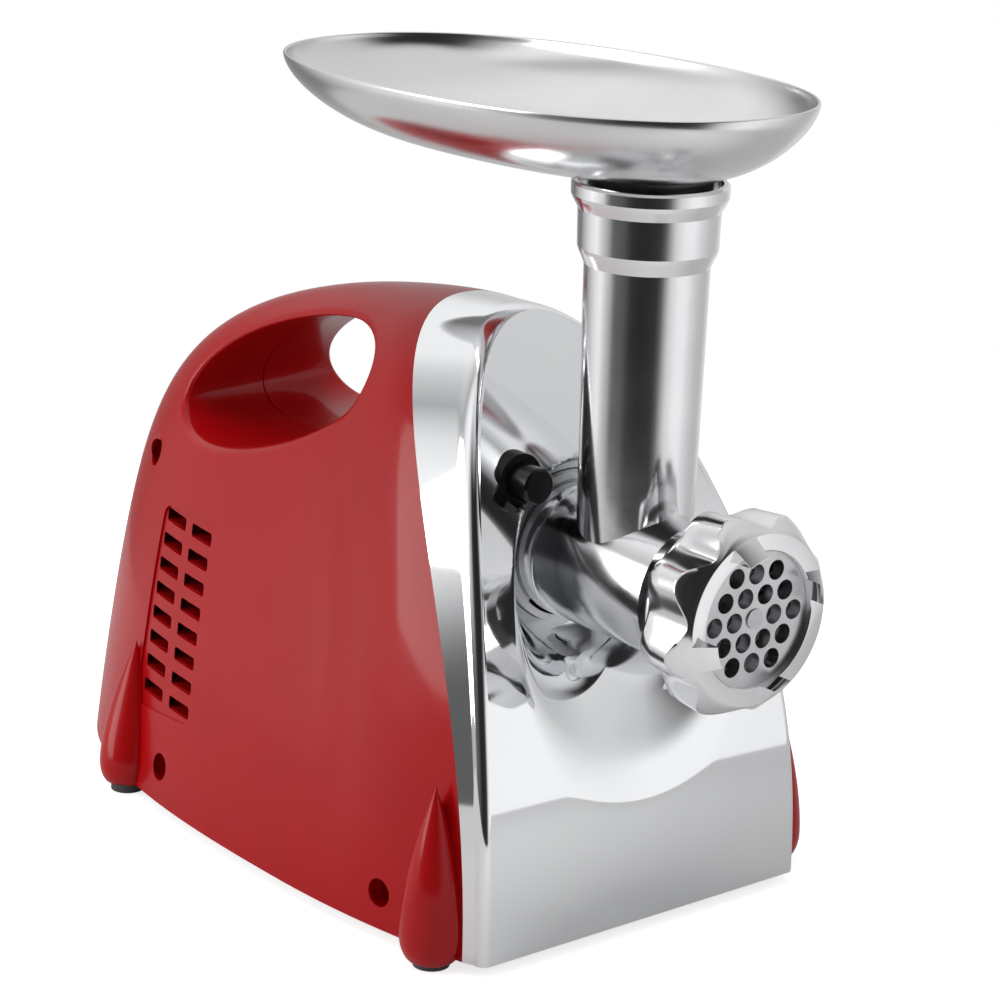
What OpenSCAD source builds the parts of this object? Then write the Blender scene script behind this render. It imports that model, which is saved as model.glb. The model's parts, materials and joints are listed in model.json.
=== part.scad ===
// Electric meat grinder, millimetres.
// Every module works in one frame: the grinding axis runs along Y at height axis_h,
// y = 0 is the front face of the cutting plate and z = 0 is the table.

/* [Stance] */
// Height of the grinding axis above the table
axis_h = 130; // [128:1:134]
// Gap between the housing and the table
foot_gap = 4; // [3:0.5:5]
// Radius of a rubber foot
foot_r = 6.5; // [5:0.5:7.5]

/* [Housing] */
// Widest half-width of the housing
house_w = 87; // [84:1:90]
// Half-width of the housing where the red shells meet the front panel
seam_w = 76; // [74:1:78]
// Height of the crown above the housing's lower edge
crown_h = 206; // [203:1:210]
// Rear end of the housing
house_rear = 347; // [342:1:354]
// Wall thickness of the moulded shells
shell_wall = 2.6; // [2:0.1:3]
// Height of a front foot pod
front_pod_h = 64; // [58:1:68]
// Height of a rear foot pod
rear_pod_h = 56; // [50:1:60]
// Largest radius of a foot pod
pod_r = 11.5; // [10:0.5:12.5]

/* [Handle] */
// Half-length of the hand opening
grip_len = 64; // [58:1:66]
// Half-height of the hand opening
grip_high = 22.4; // [20:0.2:23]

/* [Vents] */
// Slots in one column
vent_rows = 8; // [6:1:8]
// Distance between slots in a column
vent_pitch = 9.1; // [8.6:0.05:9.4]
// Length of a slot
vent_len = 15.6; // [13:0.2:17]
// Height of a slot
vent_high = 4.8; // [4:0.2:5.6]

/* [Front panel] */
// Half-width of the front face at its lower edge
face_w = 71; // [69:1:73]
// Height of the front face above the housing's lower edge
face_h = 206; // [203:1:207]
// Wall thickness of the front panel
panel_wall = 2.4; // [2:0.1:2.8]

/* [Grinding head] */
// Radius of the cutting plate
plate_r = 27; // [26:0.5:27.5]
// Thickness of the cutting plate
plate_t = 5; // [4:0.5:6]
// Radius of a hole in the cutting plate
plate_hole_r = 3.5; // [2.5:0.25:3.75]
// Distance between the cutting plate's holes
plate_pitch = 9; // [8.6:0.1:9.2]
// Outer radius of the barrel
barrel_r = 24.5; // [24.3:0.1:24.9]
// Bore radius of the barrel
chamber_r = 22.3; // [21.8:0.1:22.6]
// Outer radius of the barrel's thread
thread_r = 30; // [29.5:0.5:31]
// Pitch of the ring nut's thread
thread_pitch = 3; // [2:0.5:4]
// Outer radius of the ring nut's lobes
nut_r = 36.5; // [35.5:0.5:38]
// Lobes around the ring nut
nut_lobes = 8; // [6:1:10]

/* [Feed tube and tray] */
// Distance from the cutting plate's face to the feed tube's axis
tube_y = 61.5; // [60:0.5:64]
// Outer radius of the feed tube
tube_r = 20.6; // [20:0.2:21.4]
// Height of the feed tube's rim above the grinding axis
tube_top = 137.7; // [134:0.5:142]
// Bore radius of the feed tube
tube_bore = 18; // [17.4:0.2:18.4]
// Half-length of the tray's rim
tray_len = 116; // [110:1:120]
// Half-width of the tray's rim
tray_w = 65.5; // [62:0.5:68]
// Depth of the tray
tray_deep = 26; // [22:1:30]
// Thickness of the tray's sheet
tray_t = 1.2; // [1:0.1:1.6]

/* [Gear train] */
// Module of the output gear pair
out_mod = 2; // [1.8:0.05:2.05]
// Module of the middle gear pair
mid_mod = 1.25; // [1.2:0.01:1.27]
// Module of the motor gear pair
first_mod = 0.8; // [0.76:0.01:0.82]

/* [Motor] */
// Height of the motor shaft above the table
motor_h = 52; // [51:0.5:53]
// Side of the stator's square core
stator_side = 66; // [62:1:68]
// Bore radius of the stator
stator_bore = 21; // [20.5:0.25:22]
// Length of the stator's core
stator_len = 40; // [34:1:44]

/* [Hidden] */
$fn = 64;

// Clearances
run_gap = 0.06;
slide_gap = 0.3;
air = 0.6;

// Places along the grinding axis
nut_lip = 2.4;
nut_back = 19;
plate_gap = 0.1;
knife_y = plate_t + 0.3;
knife_t = 6.5;
auger_start = knife_y + knife_t;
thread_end = 21;
socket_y = 95;
spigot_end = 106;
socket_floor = 108;
case_floor = 113;
case_step = 133;
case_end = 155;
out_wheel_y = case_floor + 3;
mid_wheel_y = case_floor + 18;
first_wheel_y = case_floor + 29;
mid_wheel_t = 8;
first_wheel_t = 6;
gear_front = case_floor + 1;
gear_rear = case_end - 4.5;
button_x = -30;
button_z = 31;
part_mid_y = (house_rear + 5 - nut_lip) / 2;

// Gear train
out_teeth = 38;
out_pinion = 12;
mid_teeth = 50;
mid_pinion = 12;
first_teeth = 60;
motor_pinion = 11;
mesh_play = 0.12;
fixed_gap = 0.02;
span_out = out_mod * (out_teeth + out_pinion) / 2;
span_mid = mid_mod * (mid_teeth + mid_pinion) / 2;
span_first = first_mod * (first_teeth + motor_pinion) / 2;
out_at = [0, 0];
mid_at = [0, span_out];
motor_at = [0, axis_h - motor_h];
motor_gap = motor_at[1] - mid_at[1];
corner_cos = (motor_gap * motor_gap + span_mid * span_mid - span_first * span_first)
    / (2 * motor_gap * span_mid);
first_at = mid_at + span_mid * [sqrt(1 - corner_cos * corner_cos), corner_cos];
mid_dir = atan2(first_at[1] - mid_at[1], first_at[0] - mid_at[0]);
first_dir = atan2(motor_at[1] - first_at[1], motor_at[0] - first_at[0]);

// ---------- frames ----------
// Puts children on the grinding axis: local z runs back along +Y, local x is X, local y points down.
module on_axis(y) {
    translate([0, y, axis_h]) rotate([-90, 0, 0]) children();
}

module at(place, y) {
    on_axis(y) translate([place[0], place[1], 0]) children();
}

module tube(outer, inner, long) {
    difference() {
        cylinder(h = long, r = outer);
        translate([0, 0, -1]) cylinder(h = long + 2, r = inner);
    }
}

module both_sides() {
    children();
    mirror([1, 0, 0]) children();
}

// ---------- arched surface of the housing ----------
arc_points = 38;
lean_power = 2.2;

// One arch: [half-width, height, y at its foot, lean at its crown, height power, width power]
function arch(a, drop = 0) = concat(
    drop > 0 ? [[-a[0], a[2], foot_gap - drop]] : [],
    [for (i = [0:arc_points - 1]) let (
        t = 180 * i / (arc_points - 1),
        x = -a[0] * sign(cos(t)) * pow(abs(cos(t)), 2 / a[5]),
        h = a[1] * pow(max(sin(t), 0), 2 / a[4])
    ) [x, a[2] + a[3] * pow(h / a[1], lean_power), foot_gap + h]],
    drop > 0 ? [[a[0], a[2], foot_gap - drop]] : []);

function mix(a, b, k) = a + (b - a) * k;

face_foot = 46.5;
face_lean = 76;
seam_foot = 55;
seam_lean = 103;
widest_y = 150;
shoulder = 2.75;
face_arch = [face_w, face_h, face_foot, face_lean, 2.2, 2.0];
edge_arch = [face_w + 2.2, face_h + 1.2, face_foot + 1.6, face_lean + 1, 2.25, 2.02];
band_arch = [face_w + 3.2, face_h + 1.6, face_foot + 4.2, face_lean + 4, 2.35, 2.05];
seam_arch = [seam_w, crown_h, seam_foot, seam_lean, 2.7, 2.2];

// Red shells: u runs from the seam (0) to the rear (1), inset by t
function plan_w(y, t) = y < widest_y
    ? house_w - t - (house_w - seam_w) * pow((widest_y - y) / (widest_y - seam_foot), 2)
    : let (k = min((y - widest_y) / (house_rear - t - widest_y), 1))
      (house_w - t) * pow(1 - pow(k, 2.6), 1 / 2.6);
function side_h(u, t) = (crown_h - t - 13.8 * u - 41.8 * u * u) * pow(1 - pow(u, 6), 1 / 6);
function red_arch(u, t = 0) = let (
        k = max(u, 0),
        foot = mix(seam_foot, house_rear - t, u),
        s = min(k / 0.26, 1),
        blend = s * s * (3 - 2 * s)
    ) [plan_w(foot, t), side_h(k, t), foot, seam_lean * (1 - u), mix(2.7, 1.12, blend),
        mix(2.2, 2.35, blend)];
red_steps = [0, 0.045, 0.09, 0.14, 0.2, 0.27, 0.36, 0.46, 0.56, 0.66, 0.75, 0.83, 0.89, 0.94, 0.97,
    0.987, 0.996];

// Solid through a list of rings that are each mirror-symmetric about x = 0
module loft(rings) {
    k = len(rings[0]);
    n = len(rings);
    skin = [for (i = [0:n - 2]) for (j = [0:k - 1]) let (
            a = i * k + j,
            b = i * k + (j + 1) % k,
            c = b + k,
            d = a + k
        ) each [[a, d, c], [a, c, b]]];
    front = [for (j = [0:k / 2 - 2]) [j, j + 1, k - 2 - j, k - 1 - j]];
    back = [for (f = front) [for (v = [3:-1:0]) f[v] + (n - 1) * k]];
    polyhedron(points = [for (r = rings) each r], faces = concat(skin, front, back));
}

module red_solid() {
    loft([for (u = red_steps) arch(red_arch(u))]);
}

module red_hollow() {
    loft([for (u = concat([-0.06], red_steps)) arch(red_arch(u, shell_wall), 6)]);
}

// ---------- housing ----------
grip_at = [224, 36];
grip_tilt = -18;
grip_power = 2.05;

// Hand opening seen from the side, grown by g, through the housing from x = a to x = b
module grip_tunnel(g, a, b) {
    steps = 36;
    outline = [for (i = [0:steps - 1]) let (
            t = 360 * i / steps,
            p = (grip_len + g) * sign(cos(t)) * pow(abs(cos(t)), 2 / grip_power),
            q = (grip_high + g) * sign(sin(t)) * pow(abs(sin(t)), 2 / grip_power)
        ) [grip_at[0] + p * cos(grip_tilt) - q * sin(grip_tilt),
            axis_h + grip_at[1] + p * sin(grip_tilt) + q * cos(grip_tilt)]];
    translate([a, 0, 0]) rotate([90, 0, 90]) linear_extrude(b - a) polygon(outline);
}

front_pod = [80, 67];
rear_pod = [78.5, 262];
pod_lift = 1.6;
rear_pod_lean = [-9, 10];

// Teardrop pod: round below, pointed above
module foot_pod(h) {
    low = 10;
    steps = 7;
    profile = concat([[0, 0], [pod_r * 0.55, 0]],
        [for (i = [1:steps]) let (k = i / steps) [pod_r * mix(0.55, 1, sin(90 * k)), low * (1 - cos(90 * k))]],
        [for (i = [1:steps]) let (k = i / steps) [pod_r * (1 - pow(k, 1.7)), low + (h - low) * k]]);
    rotate_extrude() polygon(profile);
}

module pod_pair() {
    translate([-front_pod[0], front_pod[1], pod_lift]) foot_pod(front_pod_h);
    translate([-rear_pod[0], rear_pod[1], pod_lift]) rotate([rear_pod_lean[0], rear_pod_lean[1], 0])
        foot_pod(rear_pod_h);
}

module foot_places() {
    for (s = [-1, 1]) for (p = [front_pod, rear_pod]) translate([s * p[0], p[1], 0]) children();
}

side_screw_at = [[94, 17.5], [236, 17.5], [296, 122.5]];
side_screw_r = 2;
side_head_r = 4;
side_hole_r = 5.2;
side_boss_r = 8;
side_seat = [60, 60, 22];
side_boss_end = [44, 44, 0];
upright_t = 8;
base_boss_at = [[62, 114], [62, 205]];
base_boss_r = 5;
base_screw_r = 1.8;
base_t = 3;

module side_bosses() {
    for (i = [0:2]) translate([-side_boss_end[i], side_screw_at[i][0], side_screw_at[i][1]])
        rotate([0, -90, 0]) cylinder(h = 100 - side_boss_end[i], r = side_boss_r);
}

// Counterbored holes for the first n side screws
module side_holes(n) {
    for (i = [0:n - 1]) translate([0, side_screw_at[i][0], side_screw_at[i][1]]) rotate([0, -90, 0]) {
        translate([0, 0, side_boss_end[i] - 1]) cylinder(h = 60, r = side_screw_r + 0.2);
        translate([0, 0, side_seat[i]]) cylinder(h = 100, r = side_hole_r);
    }
}

vent_top = [260.5, 106.3];
vent_lean = -8.7;
vent_step = 22;

module vents() {
    for (c = [0, 1]) for (i = [0:vent_rows - 1]) {
        y = vent_top[0] - c * vent_step + vent_lean * i / 7;
        z = vent_top[1] - vent_pitch * i;
        translate([-96, y, z]) rotate([12, 0, 0])
            translate([0, -vent_len / 2, -vent_high / 2]) cube([50, vent_len, vent_high]);
    }
}

module half_space() {
    translate([0, -50, -50]) cube([200, 500, 400]);
}

module red_half() {
    difference() {
        union() {
            difference() {
                union() {
                    red_solid();
                    pod_pair();
                }
                red_hollow();
            }
            intersection() {
                red_solid();
                union() {
                    grip_tunnel(shell_wall, -120, 20);
                    side_bosses();
                    for (p = base_boss_at) translate([-p[0] - 40, p[1] - 1.5, foot_gap + base_t])
                        cube([40, 3, 26]);
                }
            }
            for (p = base_boss_at) translate([-p[0], p[1], foot_gap + base_t]) cylinder(h = 30, r = base_boss_r);
        }
        half_space();
        grip_tunnel(0, -130, 30);
        translate([0, house_rear + 5, gland_h]) rotate([90, 0, 0]) cylinder(h = 20, r = gland_r);
        for (p = base_boss_at) translate([-p[0], p[1], 0]) cylinder(h = 28, r = base_screw_r);
        foot_places() cylinder(h = 8, r = 2.6);
        foot_places() cylinder(h = foot_gap, r = foot_r + 0.1);
    }
}

module housing_right_shell() {
    color([0.72, 0.04, 0.06]) difference() {
        red_half();
        side_holes(3);
        vents();
    }
}

switch_at = [105, 66];
switch_half = [8, 13];
switch_seat = 77.2;
switch_lean = 7;
bezel = 2;

// Local x points out of the side wall, 0 at the bezel's seat
module on_switch() {
    translate([switch_seat, switch_at[0], switch_at[1]]) rotate([0, -switch_lean, 0]) children();
}

module switch_box(x, long, grow) {
    on_switch() translate([x, -switch_half[0] - grow, -switch_half[1] - grow])
        cube([long, 2 * (switch_half[0] + grow), 2 * (switch_half[1] + grow)]);
}

module housing_left_shell() {
    color([0.72, 0.04, 0.06]) difference() {
        mirror([1, 0, 0]) difference() {
            red_half();
            side_holes(2);
            vents();
            translate([1, side_screw_at[2][0], side_screw_at[2][1]]) rotate([0, -90, 0])
                cylinder(h = 16, r = side_screw_r + 0.05);
        }
        switch_box(-20, 40, 0);
        switch_box(0, 20, bezel + 0.2);
    }
}

// ---------- front panel ----------
neck_bore = barrel_r + 0.8;
neck_r = neck_bore + 2.5;
horn = [[neck_r + slide_gap, socket_y + 3], [39, socket_y], [34, 62], [78, 49]];
button_hole_r = 9.5;
button_r = 6.5;

function bezier(p, t) = pow(1 - t, 3) * p[0] + 3 * t * pow(1 - t, 2) * p[1]
    + 3 * t * t * (1 - t) * p[2] + pow(t, 3) * p[3];

// Flared recess around the neck, grown by g, as a solid of revolution
module horn_solid(g) {
    steps = 12;
    curve = [for (i = [0:steps]) bezier(horn, i / steps) + [g, g * 0.8]];
    on_axis(0) rotate_extrude(convexity = 4)
        polygon(concat([[0, curve[0][1]]], curve, [[curve[steps][0] + 14, 36], [0, 36]]));
}

module panel_solid() {
    loft([arch(face_arch), arch(edge_arch), arch(band_arch), arch(seam_arch)]);
}

module panel_hollow() {
    t = panel_wall;
    inner = [for (a = [face_arch, band_arch, seam_arch]) [a[0] - t, a[1] - t, a[2] + t, a[3], a[4], a[5]]];
    beyond = [seam_w - t, crown_h - t, seam_foot + 20, seam_lean, 2.7, 2.2];
    loft([for (a = concat(inner, [beyond])) arch(a, 6)]);
}

module front_panel() {
    color([0.86, 0.87, 0.88]) difference() {
        union() {
            difference() {
                panel_solid();
                panel_hollow();
            }
            intersection() {
                panel_solid();
                horn_solid(panel_wall);
            }
        }
        horn_solid(0);
        on_axis(40) cylinder(h = 100, r = neck_r + slide_gap);
        on_axis(60) translate([button_x, -button_z, 0]) cylinder(h = 60, r = button_hole_r);
    }
}

// ---------- base ----------
base_edge = [for (i = [1:len(red_steps) - 1]) let (a = red_arch(red_steps[i], shell_wall))
    [a[0] - slide_gap, a[2] - (i > 7 ? slide_gap : 0)]];

module upright(i) {
    y = side_screw_at[i][0];
    z = side_screw_at[i][1];
    difference() {
        translate([side_boss_end[i] - upright_t, y - 7, foot_gap]) cube([upright_t, 14, z + 7 - foot_gap]);
        translate([side_boss_end[i] - upright_t - 1, y, z]) rotate([0, 90, 0])
            cylinder(h = upright_t + 2, r = side_screw_r + 0.05);
    }
}

module base_plate() {
    edge = base_edge;
    front = [face_w - panel_wall - slide_gap - 1, face_foot + panel_wall + 2];
    outline = concat([front], edge, [for (i = [len(edge) - 1:-1:0]) [-edge[i][0], edge[i][1]]],
        [[-front[0], front[1]]]);
    color([0.16, 0.16, 0.17]) difference() {
        union() {
            translate([0, 0, foot_gap]) linear_extrude(base_t) polygon(outline);
            for (y = [stator_y + 3, stator_y + stator_len - 9])
                translate([-15, y, foot_gap]) cube([30, 6, motor_h - stator_side / 2 - foot_gap]);
            both_sides() for (i = [0, 1]) upright(i);
        }
        for (s = [-1, 1]) for (p = base_boss_at) translate([s * p[0], p[1], 0]) cylinder(h = 20, r = base_screw_r);
        for (i = [0:6]) for (s = [-1, 1])
            translate([s * 30 - 14, 150 + 11 * i, 0]) cube([28, 5, foot_gap + base_t]);
        foot_places() cylinder(h = 20, r = foot_r + 2);
        for (s = [-1, 1]) translate([s * 14, case_floor - 2.5, 0]) cylinder(h = 12, r = base_screw_r);
    }
}

module rubber_feet() {
    color([0.12, 0.12, 0.13]) foot_places() {
        cylinder(h = foot_gap, r = foot_r);
        cylinder(h = 7.5, r = 2.5);
    }
}

module side_screw(i, long) {
    translate([0, side_screw_at[i][0], side_screw_at[i][1]]) rotate([0, -90, 0])
        translate([0, 0, side_seat[i]]) difference() {
            union() {
                cylinder(h = 3, r = side_head_r);
                translate([0, 0, -long]) cylinder(h = long + 1, r = side_screw_r);
            }
            translate([-0.5, -2.8, 1.8]) cube([1, 5.6, 3]);
            translate([-2.8, -0.5, 1.8]) cube([5.6, 1, 3]);
        }
}

module side_screws() {
    color("silver") {
        both_sides() for (i = [0, 1]) side_screw(i, 22);
        side_screw(2, 34);
    }
}

module base_screws() {
    color("silver") for (s = [-1, 1]) for (p = base_boss_at) translate([s * p[0], p[1], foot_gap - 2]) {
        cylinder(h = 2, r = 3.4);
        cylinder(h = 20, r = base_screw_r - 0.1);
    }
}

gland_h = 24;
gland_r = 8;
rear_face = mix(seam_foot, house_rear, red_steps[len(red_steps) - 1]);

module cord_gland() {
    flange = house_rear + 5 - rear_face - 0.1;
    color([0.1, 0.1, 0.11]) translate([0, house_rear + 5, gland_h]) rotate([90, 0, 0]) difference() {
        union() {
            cylinder(h = flange, r = gland_r + 2.5);
            cylinder(h = flange + 8, r = gland_r - 0.05);
            translate([0, 0, flange + shell_wall + 0.6]) cylinder(h = 3, r = gland_r + 1.5);
        }
        translate([0, 0, -1]) cylinder(h = 20, r = 3.6);
    }
}

// ---------- switch ----------
rocker_turn = 9;
rocker_pin = 1.5;

module switch_frame() {
    color([0.1, 0.1, 0.11]) difference() {
        union() {
            switch_box(-16, 17, -0.1);
            switch_box(0, 2.6, bezel);
        }
        switch_box(-8, 20, -1.8);
        on_switch() translate([-1, 0, 0]) rotate([90, 0, 0])
            cylinder(h = 2 * switch_half[0] - 2, r = rocker_pin + run_gap, center = true);
    }
}

module power_rocker() {
    long = switch_half[1] - 2.6;
    wide = 2 * switch_half[0] - 4.4;
    color([0.16, 0.16, 0.17]) on_switch() translate([-1, 0, 0]) rotate([90, -rocker_turn, 0]) {
        translate([0, 0, -wide / 2]) linear_extrude(wide)
            polygon([[-2, -2.4], [5.4, -long], [3.6, 0], [5.4, long], [-2, 2.4]]);
        cylinder(h = wide + 2, r = rocker_pin, center = true);
    }
}

// ---------- gears ----------
function roll(a) = tan(a) * 180 / PI - a;

// Spur gear outline: straight root, involute flanks in three steps
function tooth_half(z, m, r) = let (rb = m * z / 2 * cos(20), q = max(r, rb))
    (90 - mesh_play / m * 20) / z + roll(20) - roll(acos(rb / q));
function polar(r, a) = [r * cos(a), r * sin(a)];
function gear_outline(z, m) = let (
        rp = m * z / 2,
        radii = [rp - 1.2 * m, rp - 0.5 * m, rp + 0.2 * m, rp + m - 0.05]
    ) [for (i = [0:z - 1]) let (c = 360 * i / z) each concat(
        [for (r = radii) polar(r, c - tooth_half(z, m, r))],
        [for (j = [3:-1:0]) polar(radii[j], c + tooth_half(z, m, radii[j]))])];

module spur(z, m, long, turn) {
    rotate([0, 0, turn]) linear_extrude(long) polygon(gear_outline(z, m));
}

gear_bore = 3 + run_gap;

module middle_gear() {
    color([0.93, 0.92, 0.86]) at(mid_at, 0) difference() {
        union() {
            translate([0, 0, mid_wheel_y]) spur(mid_teeth, mid_mod, mid_wheel_t, mid_dir);
            translate([0, 0, out_wheel_y - 0.5]) spur(out_pinion, out_mod, mid_wheel_y - out_wheel_y + 1,
                90 + 180 - 180 / out_pinion);
            translate([0, 0, mid_wheel_y + mid_wheel_t]) cylinder(h = gear_rear - mid_wheel_y - mid_wheel_t, r = 6);
        }
        translate([0, 0, 100]) cylinder(h = 60, r = gear_bore);
        for (i = [0:4]) rotate([0, 0, 72 * i]) translate([20, 0, mid_wheel_y - 1]) cylinder(h = 12, r = 5);
    }
}

module first_gear() {
    color([0.93, 0.92, 0.86]) at(first_at, 0) difference() {
        union() {
            translate([0, 0, first_wheel_y]) spur(first_teeth, first_mod, first_wheel_t, first_dir);
            translate([0, 0, mid_wheel_y - 0.5]) spur(mid_pinion, mid_mod, first_wheel_y - mid_wheel_y + 1,
                mid_dir + 180 - 180 / mid_pinion);
            translate([0, 0, gear_front]) cylinder(h = mid_wheel_y - gear_front, r = 5);
        }
        translate([0, 0, 100]) cylinder(h = 60, r = gear_bore);
        for (i = [0:4]) rotate([0, 0, 72 * i]) translate([15, 0, first_wheel_y - 1]) cylinder(h = 8, r = 4);
    }
}

hex_af = 12;
coupling_r = 11;

module output_gear() {
    color([0.62, 0.64, 0.66]) on_axis(0) difference() {
        union() {
            translate([0, 0, out_wheel_y]) spur(out_teeth, out_mod, 12, 90);
            translate([0, 0, socket_floor + 1]) cylinder(h = out_wheel_y - socket_floor, r = coupling_r);
            translate([0, 0, out_wheel_y + 11]) cylinder(h = case_step + 5 - out_wheel_y - 11, r = 6);
        }
        translate([0, 0, 100]) cylinder(h = 24, r = (hex_af + slide_gap) / 2 / cos(30), $fn = 6);
        for (i = [0:5]) rotate([0, 0, 60 * i]) translate([24, 0, out_wheel_y - 1]) cylinder(h = 14, r = 6);
    }
}

module output_bush() {
    color([0.72, 0.55, 0.3]) {
        on_axis(socket_floor) tube(coupling_r + 3, coupling_r + run_gap, case_floor - socket_floor);
        on_axis(case_step - 3) tube(9, 6 + run_gap, 8.5);
    }
}

module gear_shafts() {
    color("silver") {
        at(mid_at, 110) cylinder(h = case_end - 1.5 - 110, r = 3);
        at(first_at, 110) cylinder(h = case_end - 1.5 - 110, r = 3);
    }
}

// ---------- gearbox ----------
case_out = [out_mod * out_teeth / 2 + 6, mid_mod * mid_teeth / 2 + 5.5, first_mod * first_teeth / 2 + 5];
motor_boss_r = 15;
screw_at = [[-34, -34], [34, -34], [-37, 26], [37, 22], [-26, 66], [40, 98]];

module case_upper(g) {
    circle(r = case_out[0] - g);
    translate(mid_at) circle(r = case_out[1] - g);
}

module case_lower(g) {
    translate(mid_at) circle(r = case_out[1] - g);
    translate(first_at) circle(r = case_out[2] - g);
    translate(motor_at) circle(r = motor_boss_r + 3 - g);
}

module gearbox_front() {
    color([0.74, 0.75, 0.77]) difference() {
        union() {
            on_axis(socket_floor) linear_extrude(case_floor - socket_floor) {
                case_upper(0);
                case_lower(0);
            }
            on_axis(socket_y) tube(neck_r, neck_bore, socket_floor - socket_y + 1);
            on_axis(socket_y + 0.5) lug_ribs();
            translate([-24, socket_floor, foot_gap + base_t]) cube([48, case_floor - socket_floor, 30]);
        }
        on_axis(100) cylinder(h = 20, r = coupling_r + 3);
        at(mid_at, 110) cylinder(h = 20, r = 3 + fixed_gap);
        at(first_at, 110) cylinder(h = 20, r = 3 + fixed_gap);
        for (s = [-1, 1]) translate([s * 14, case_floor - 2.5, 0]) cylinder(h = 22, r = base_screw_r);
        button_place(socket_y + 6) rotate([0, 0, latch_dir]) translate([-3.2, -3.2, 0])
            cube([latch_far - neck_bore + 5, 6.4, case_floor - socket_y - 4]);
    }
}

// Bayonet ribs inside the neck, with two gaps that the barrel's lugs pass through
lug_half = 13;
twist_range = 30;

module sector(r, a, b) {
    polygon(concat([[0, 0]], [for (i = [0:6]) 1.6 * r * [cos(mix(a, b, i / 6)), -sin(mix(a, b, i / 6))]]));
}

module lug_ribs() {
    for (s = [0, 180]) linear_extrude(3) intersection() {
        difference() {
            circle(r = neck_bore + 0.5);
            circle(r = barrel_r - 0.6);
        }
        sector(neck_bore, s + 90 - twist_range + lug_half + 3, s + 270 - twist_range - lug_half - 3);
    }
}

module gearbox_cover() {
    color([0.15, 0.15, 0.16]) difference() {
        union() {
            on_axis(case_floor) linear_extrude(case_step - case_floor) case_upper(0);
            on_axis(case_floor) linear_extrude(case_end - case_floor) case_lower(0);
            on_axis(case_step - 0.5) cylinder(h = 6, r = 12);
            at(motor_at, case_end - 0.5) cylinder(h = 2.5, r = motor_boss_r);
            for (s = [45, 135]) at(motor_at, case_end - 3.8) rotate([0, 0, s])
                translate([0, -4, 0]) cube([bolt_out * sqrt(2), 8, 3.6]);
            for (s = [-1, 1]) at(motor_at + [s * bolt_out, bolt_out], case_end - 4.2) cylinder(h = 4, r = 5.5);
        }
        on_axis(case_floor - 1) linear_extrude(case_step - 3 - case_floor + 1) case_upper(3);
        on_axis(case_floor - 1) linear_extrude(case_end - 4 - case_floor + 1) case_lower(3);
        on_axis(case_step - 4) cylinder(h = 20, r = 9);
        at(mid_at, case_end - 6) cylinder(h = 4.5, r = 3 + fixed_gap);
        at(first_at, case_end - 6) cylinder(h = 4.5, r = 3 + fixed_gap);
        at(motor_at, case_end - 8) cylinder(h = 20, r = bearing_r);
        for (c = stator_corners) at(motor_at + c, case_end - 3 - fixed_gap) cylinder(h = 20, r = bolt_r + fixed_gap);
        for (c = stator_corners) at(motor_at + c, case_end - 0.2) cylinder(h = 20, r = 4);
    }
}

module gearbox_screws() {
    color("silver") for (s = [-1, 1]) translate([s * 14, case_floor - 2.5, foot_gap - 2]) {
        cylinder(h = 2, r = 3.2);
        cylinder(h = 18, r = base_screw_r - 0.1);
    }
}

// ---------- motor ----------
bearing_r = 11;
shaft_r = 4;
bolt_r = 2;
fan_y = case_end + 3.5;
stator_y = case_end + 21;
rotor_r = stator_bore - air;
bolt_out = stator_side / 2 - 5;
stator_corners = [[-bolt_out, -bolt_out], [bolt_out, -bolt_out], [-bolt_out, bolt_out], [bolt_out, bolt_out]];
commutator_y = stator_y + stator_len + 14;
bracket_y = stator_y + stator_len + 32;

module motor_shaft() {
    color("silver") at(motor_at, 0) {
        translate([0, 0, first_wheel_y - 0.5]) spur(motor_pinion, first_mod, gear_rear - first_wheel_y + 1,
            first_dir + 180 - 180 / motor_pinion);
        translate([0, 0, gear_rear]) cylinder(h = bracket_y + 8 - gear_rear, r = shaft_r);
    }
}

module motor_bearings() {
    color([0.6, 0.6, 0.62]) {
        at(motor_at, case_end - 4) tube(bearing_r, shaft_r + run_gap, 6);
        at(motor_at, bracket_y) tube(bearing_r - 2, shaft_r + run_gap, 6);
    }
}

module stator_core() {
    color([0.42, 0.43, 0.45]) at(motor_at, stator_y) linear_extrude(stator_len) difference() {
        square(stator_side, center = true);
        circle(r = stator_bore);
        difference() {
            circle(r = stator_bore + 8);
            circle(r = stator_bore + 1.5);
            for (s = [0, 180]) sector(stator_bore, s - 44, s + 44);
        }
        for (s = [90, 270]) sector(stator_bore * 0.72, s - 12, s + 12);
        for (c = stator_corners) translate(c) circle(r = bolt_r + 0.15);
    }
}

module coil_sector(inner, outer, half, long) {
    linear_extrude(long) intersection() {
        difference() {
            circle(r = outer);
            circle(r = inner);
        }
        sector(stator_bore, -half, half);
    }
}

module field_coils() {
    over = 7;
    color([0.72, 0.38, 0.2]) for (s = [0, 180]) at(motor_at, stator_y - over) rotate([0, 0, s]) difference() {
        coil_sector(stator_bore + 2, stator_bore + 7.5, 68, stator_len + 2 * over);
        translate([0, 0, over - 1]) coil_sector(stator_bore, stator_bore + 12, 46, stator_len + 2);
    }
}

module rotor_core() {
    color([0.4, 0.41, 0.43]) at(motor_at, stator_y) linear_extrude(stator_len) difference() {
        circle(r = rotor_r);
        circle(r = shaft_r + fixed_gap);
        for (i = [0:11]) rotate(30 * i) translate([rotor_r - 3.4, 0]) circle(r = 2.4);
        for (i = [0:11]) rotate(30 * i) translate([rotor_r - 2, -0.7]) square([3, 1.4]);
    }
}

module rotor_windings() {
    color([0.72, 0.38, 0.2]) for (y = [stator_y - 8, stator_y + stator_len])
        at(motor_at, y) tube(rotor_r - 2, shaft_r + fixed_gap, 8);
}

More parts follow.
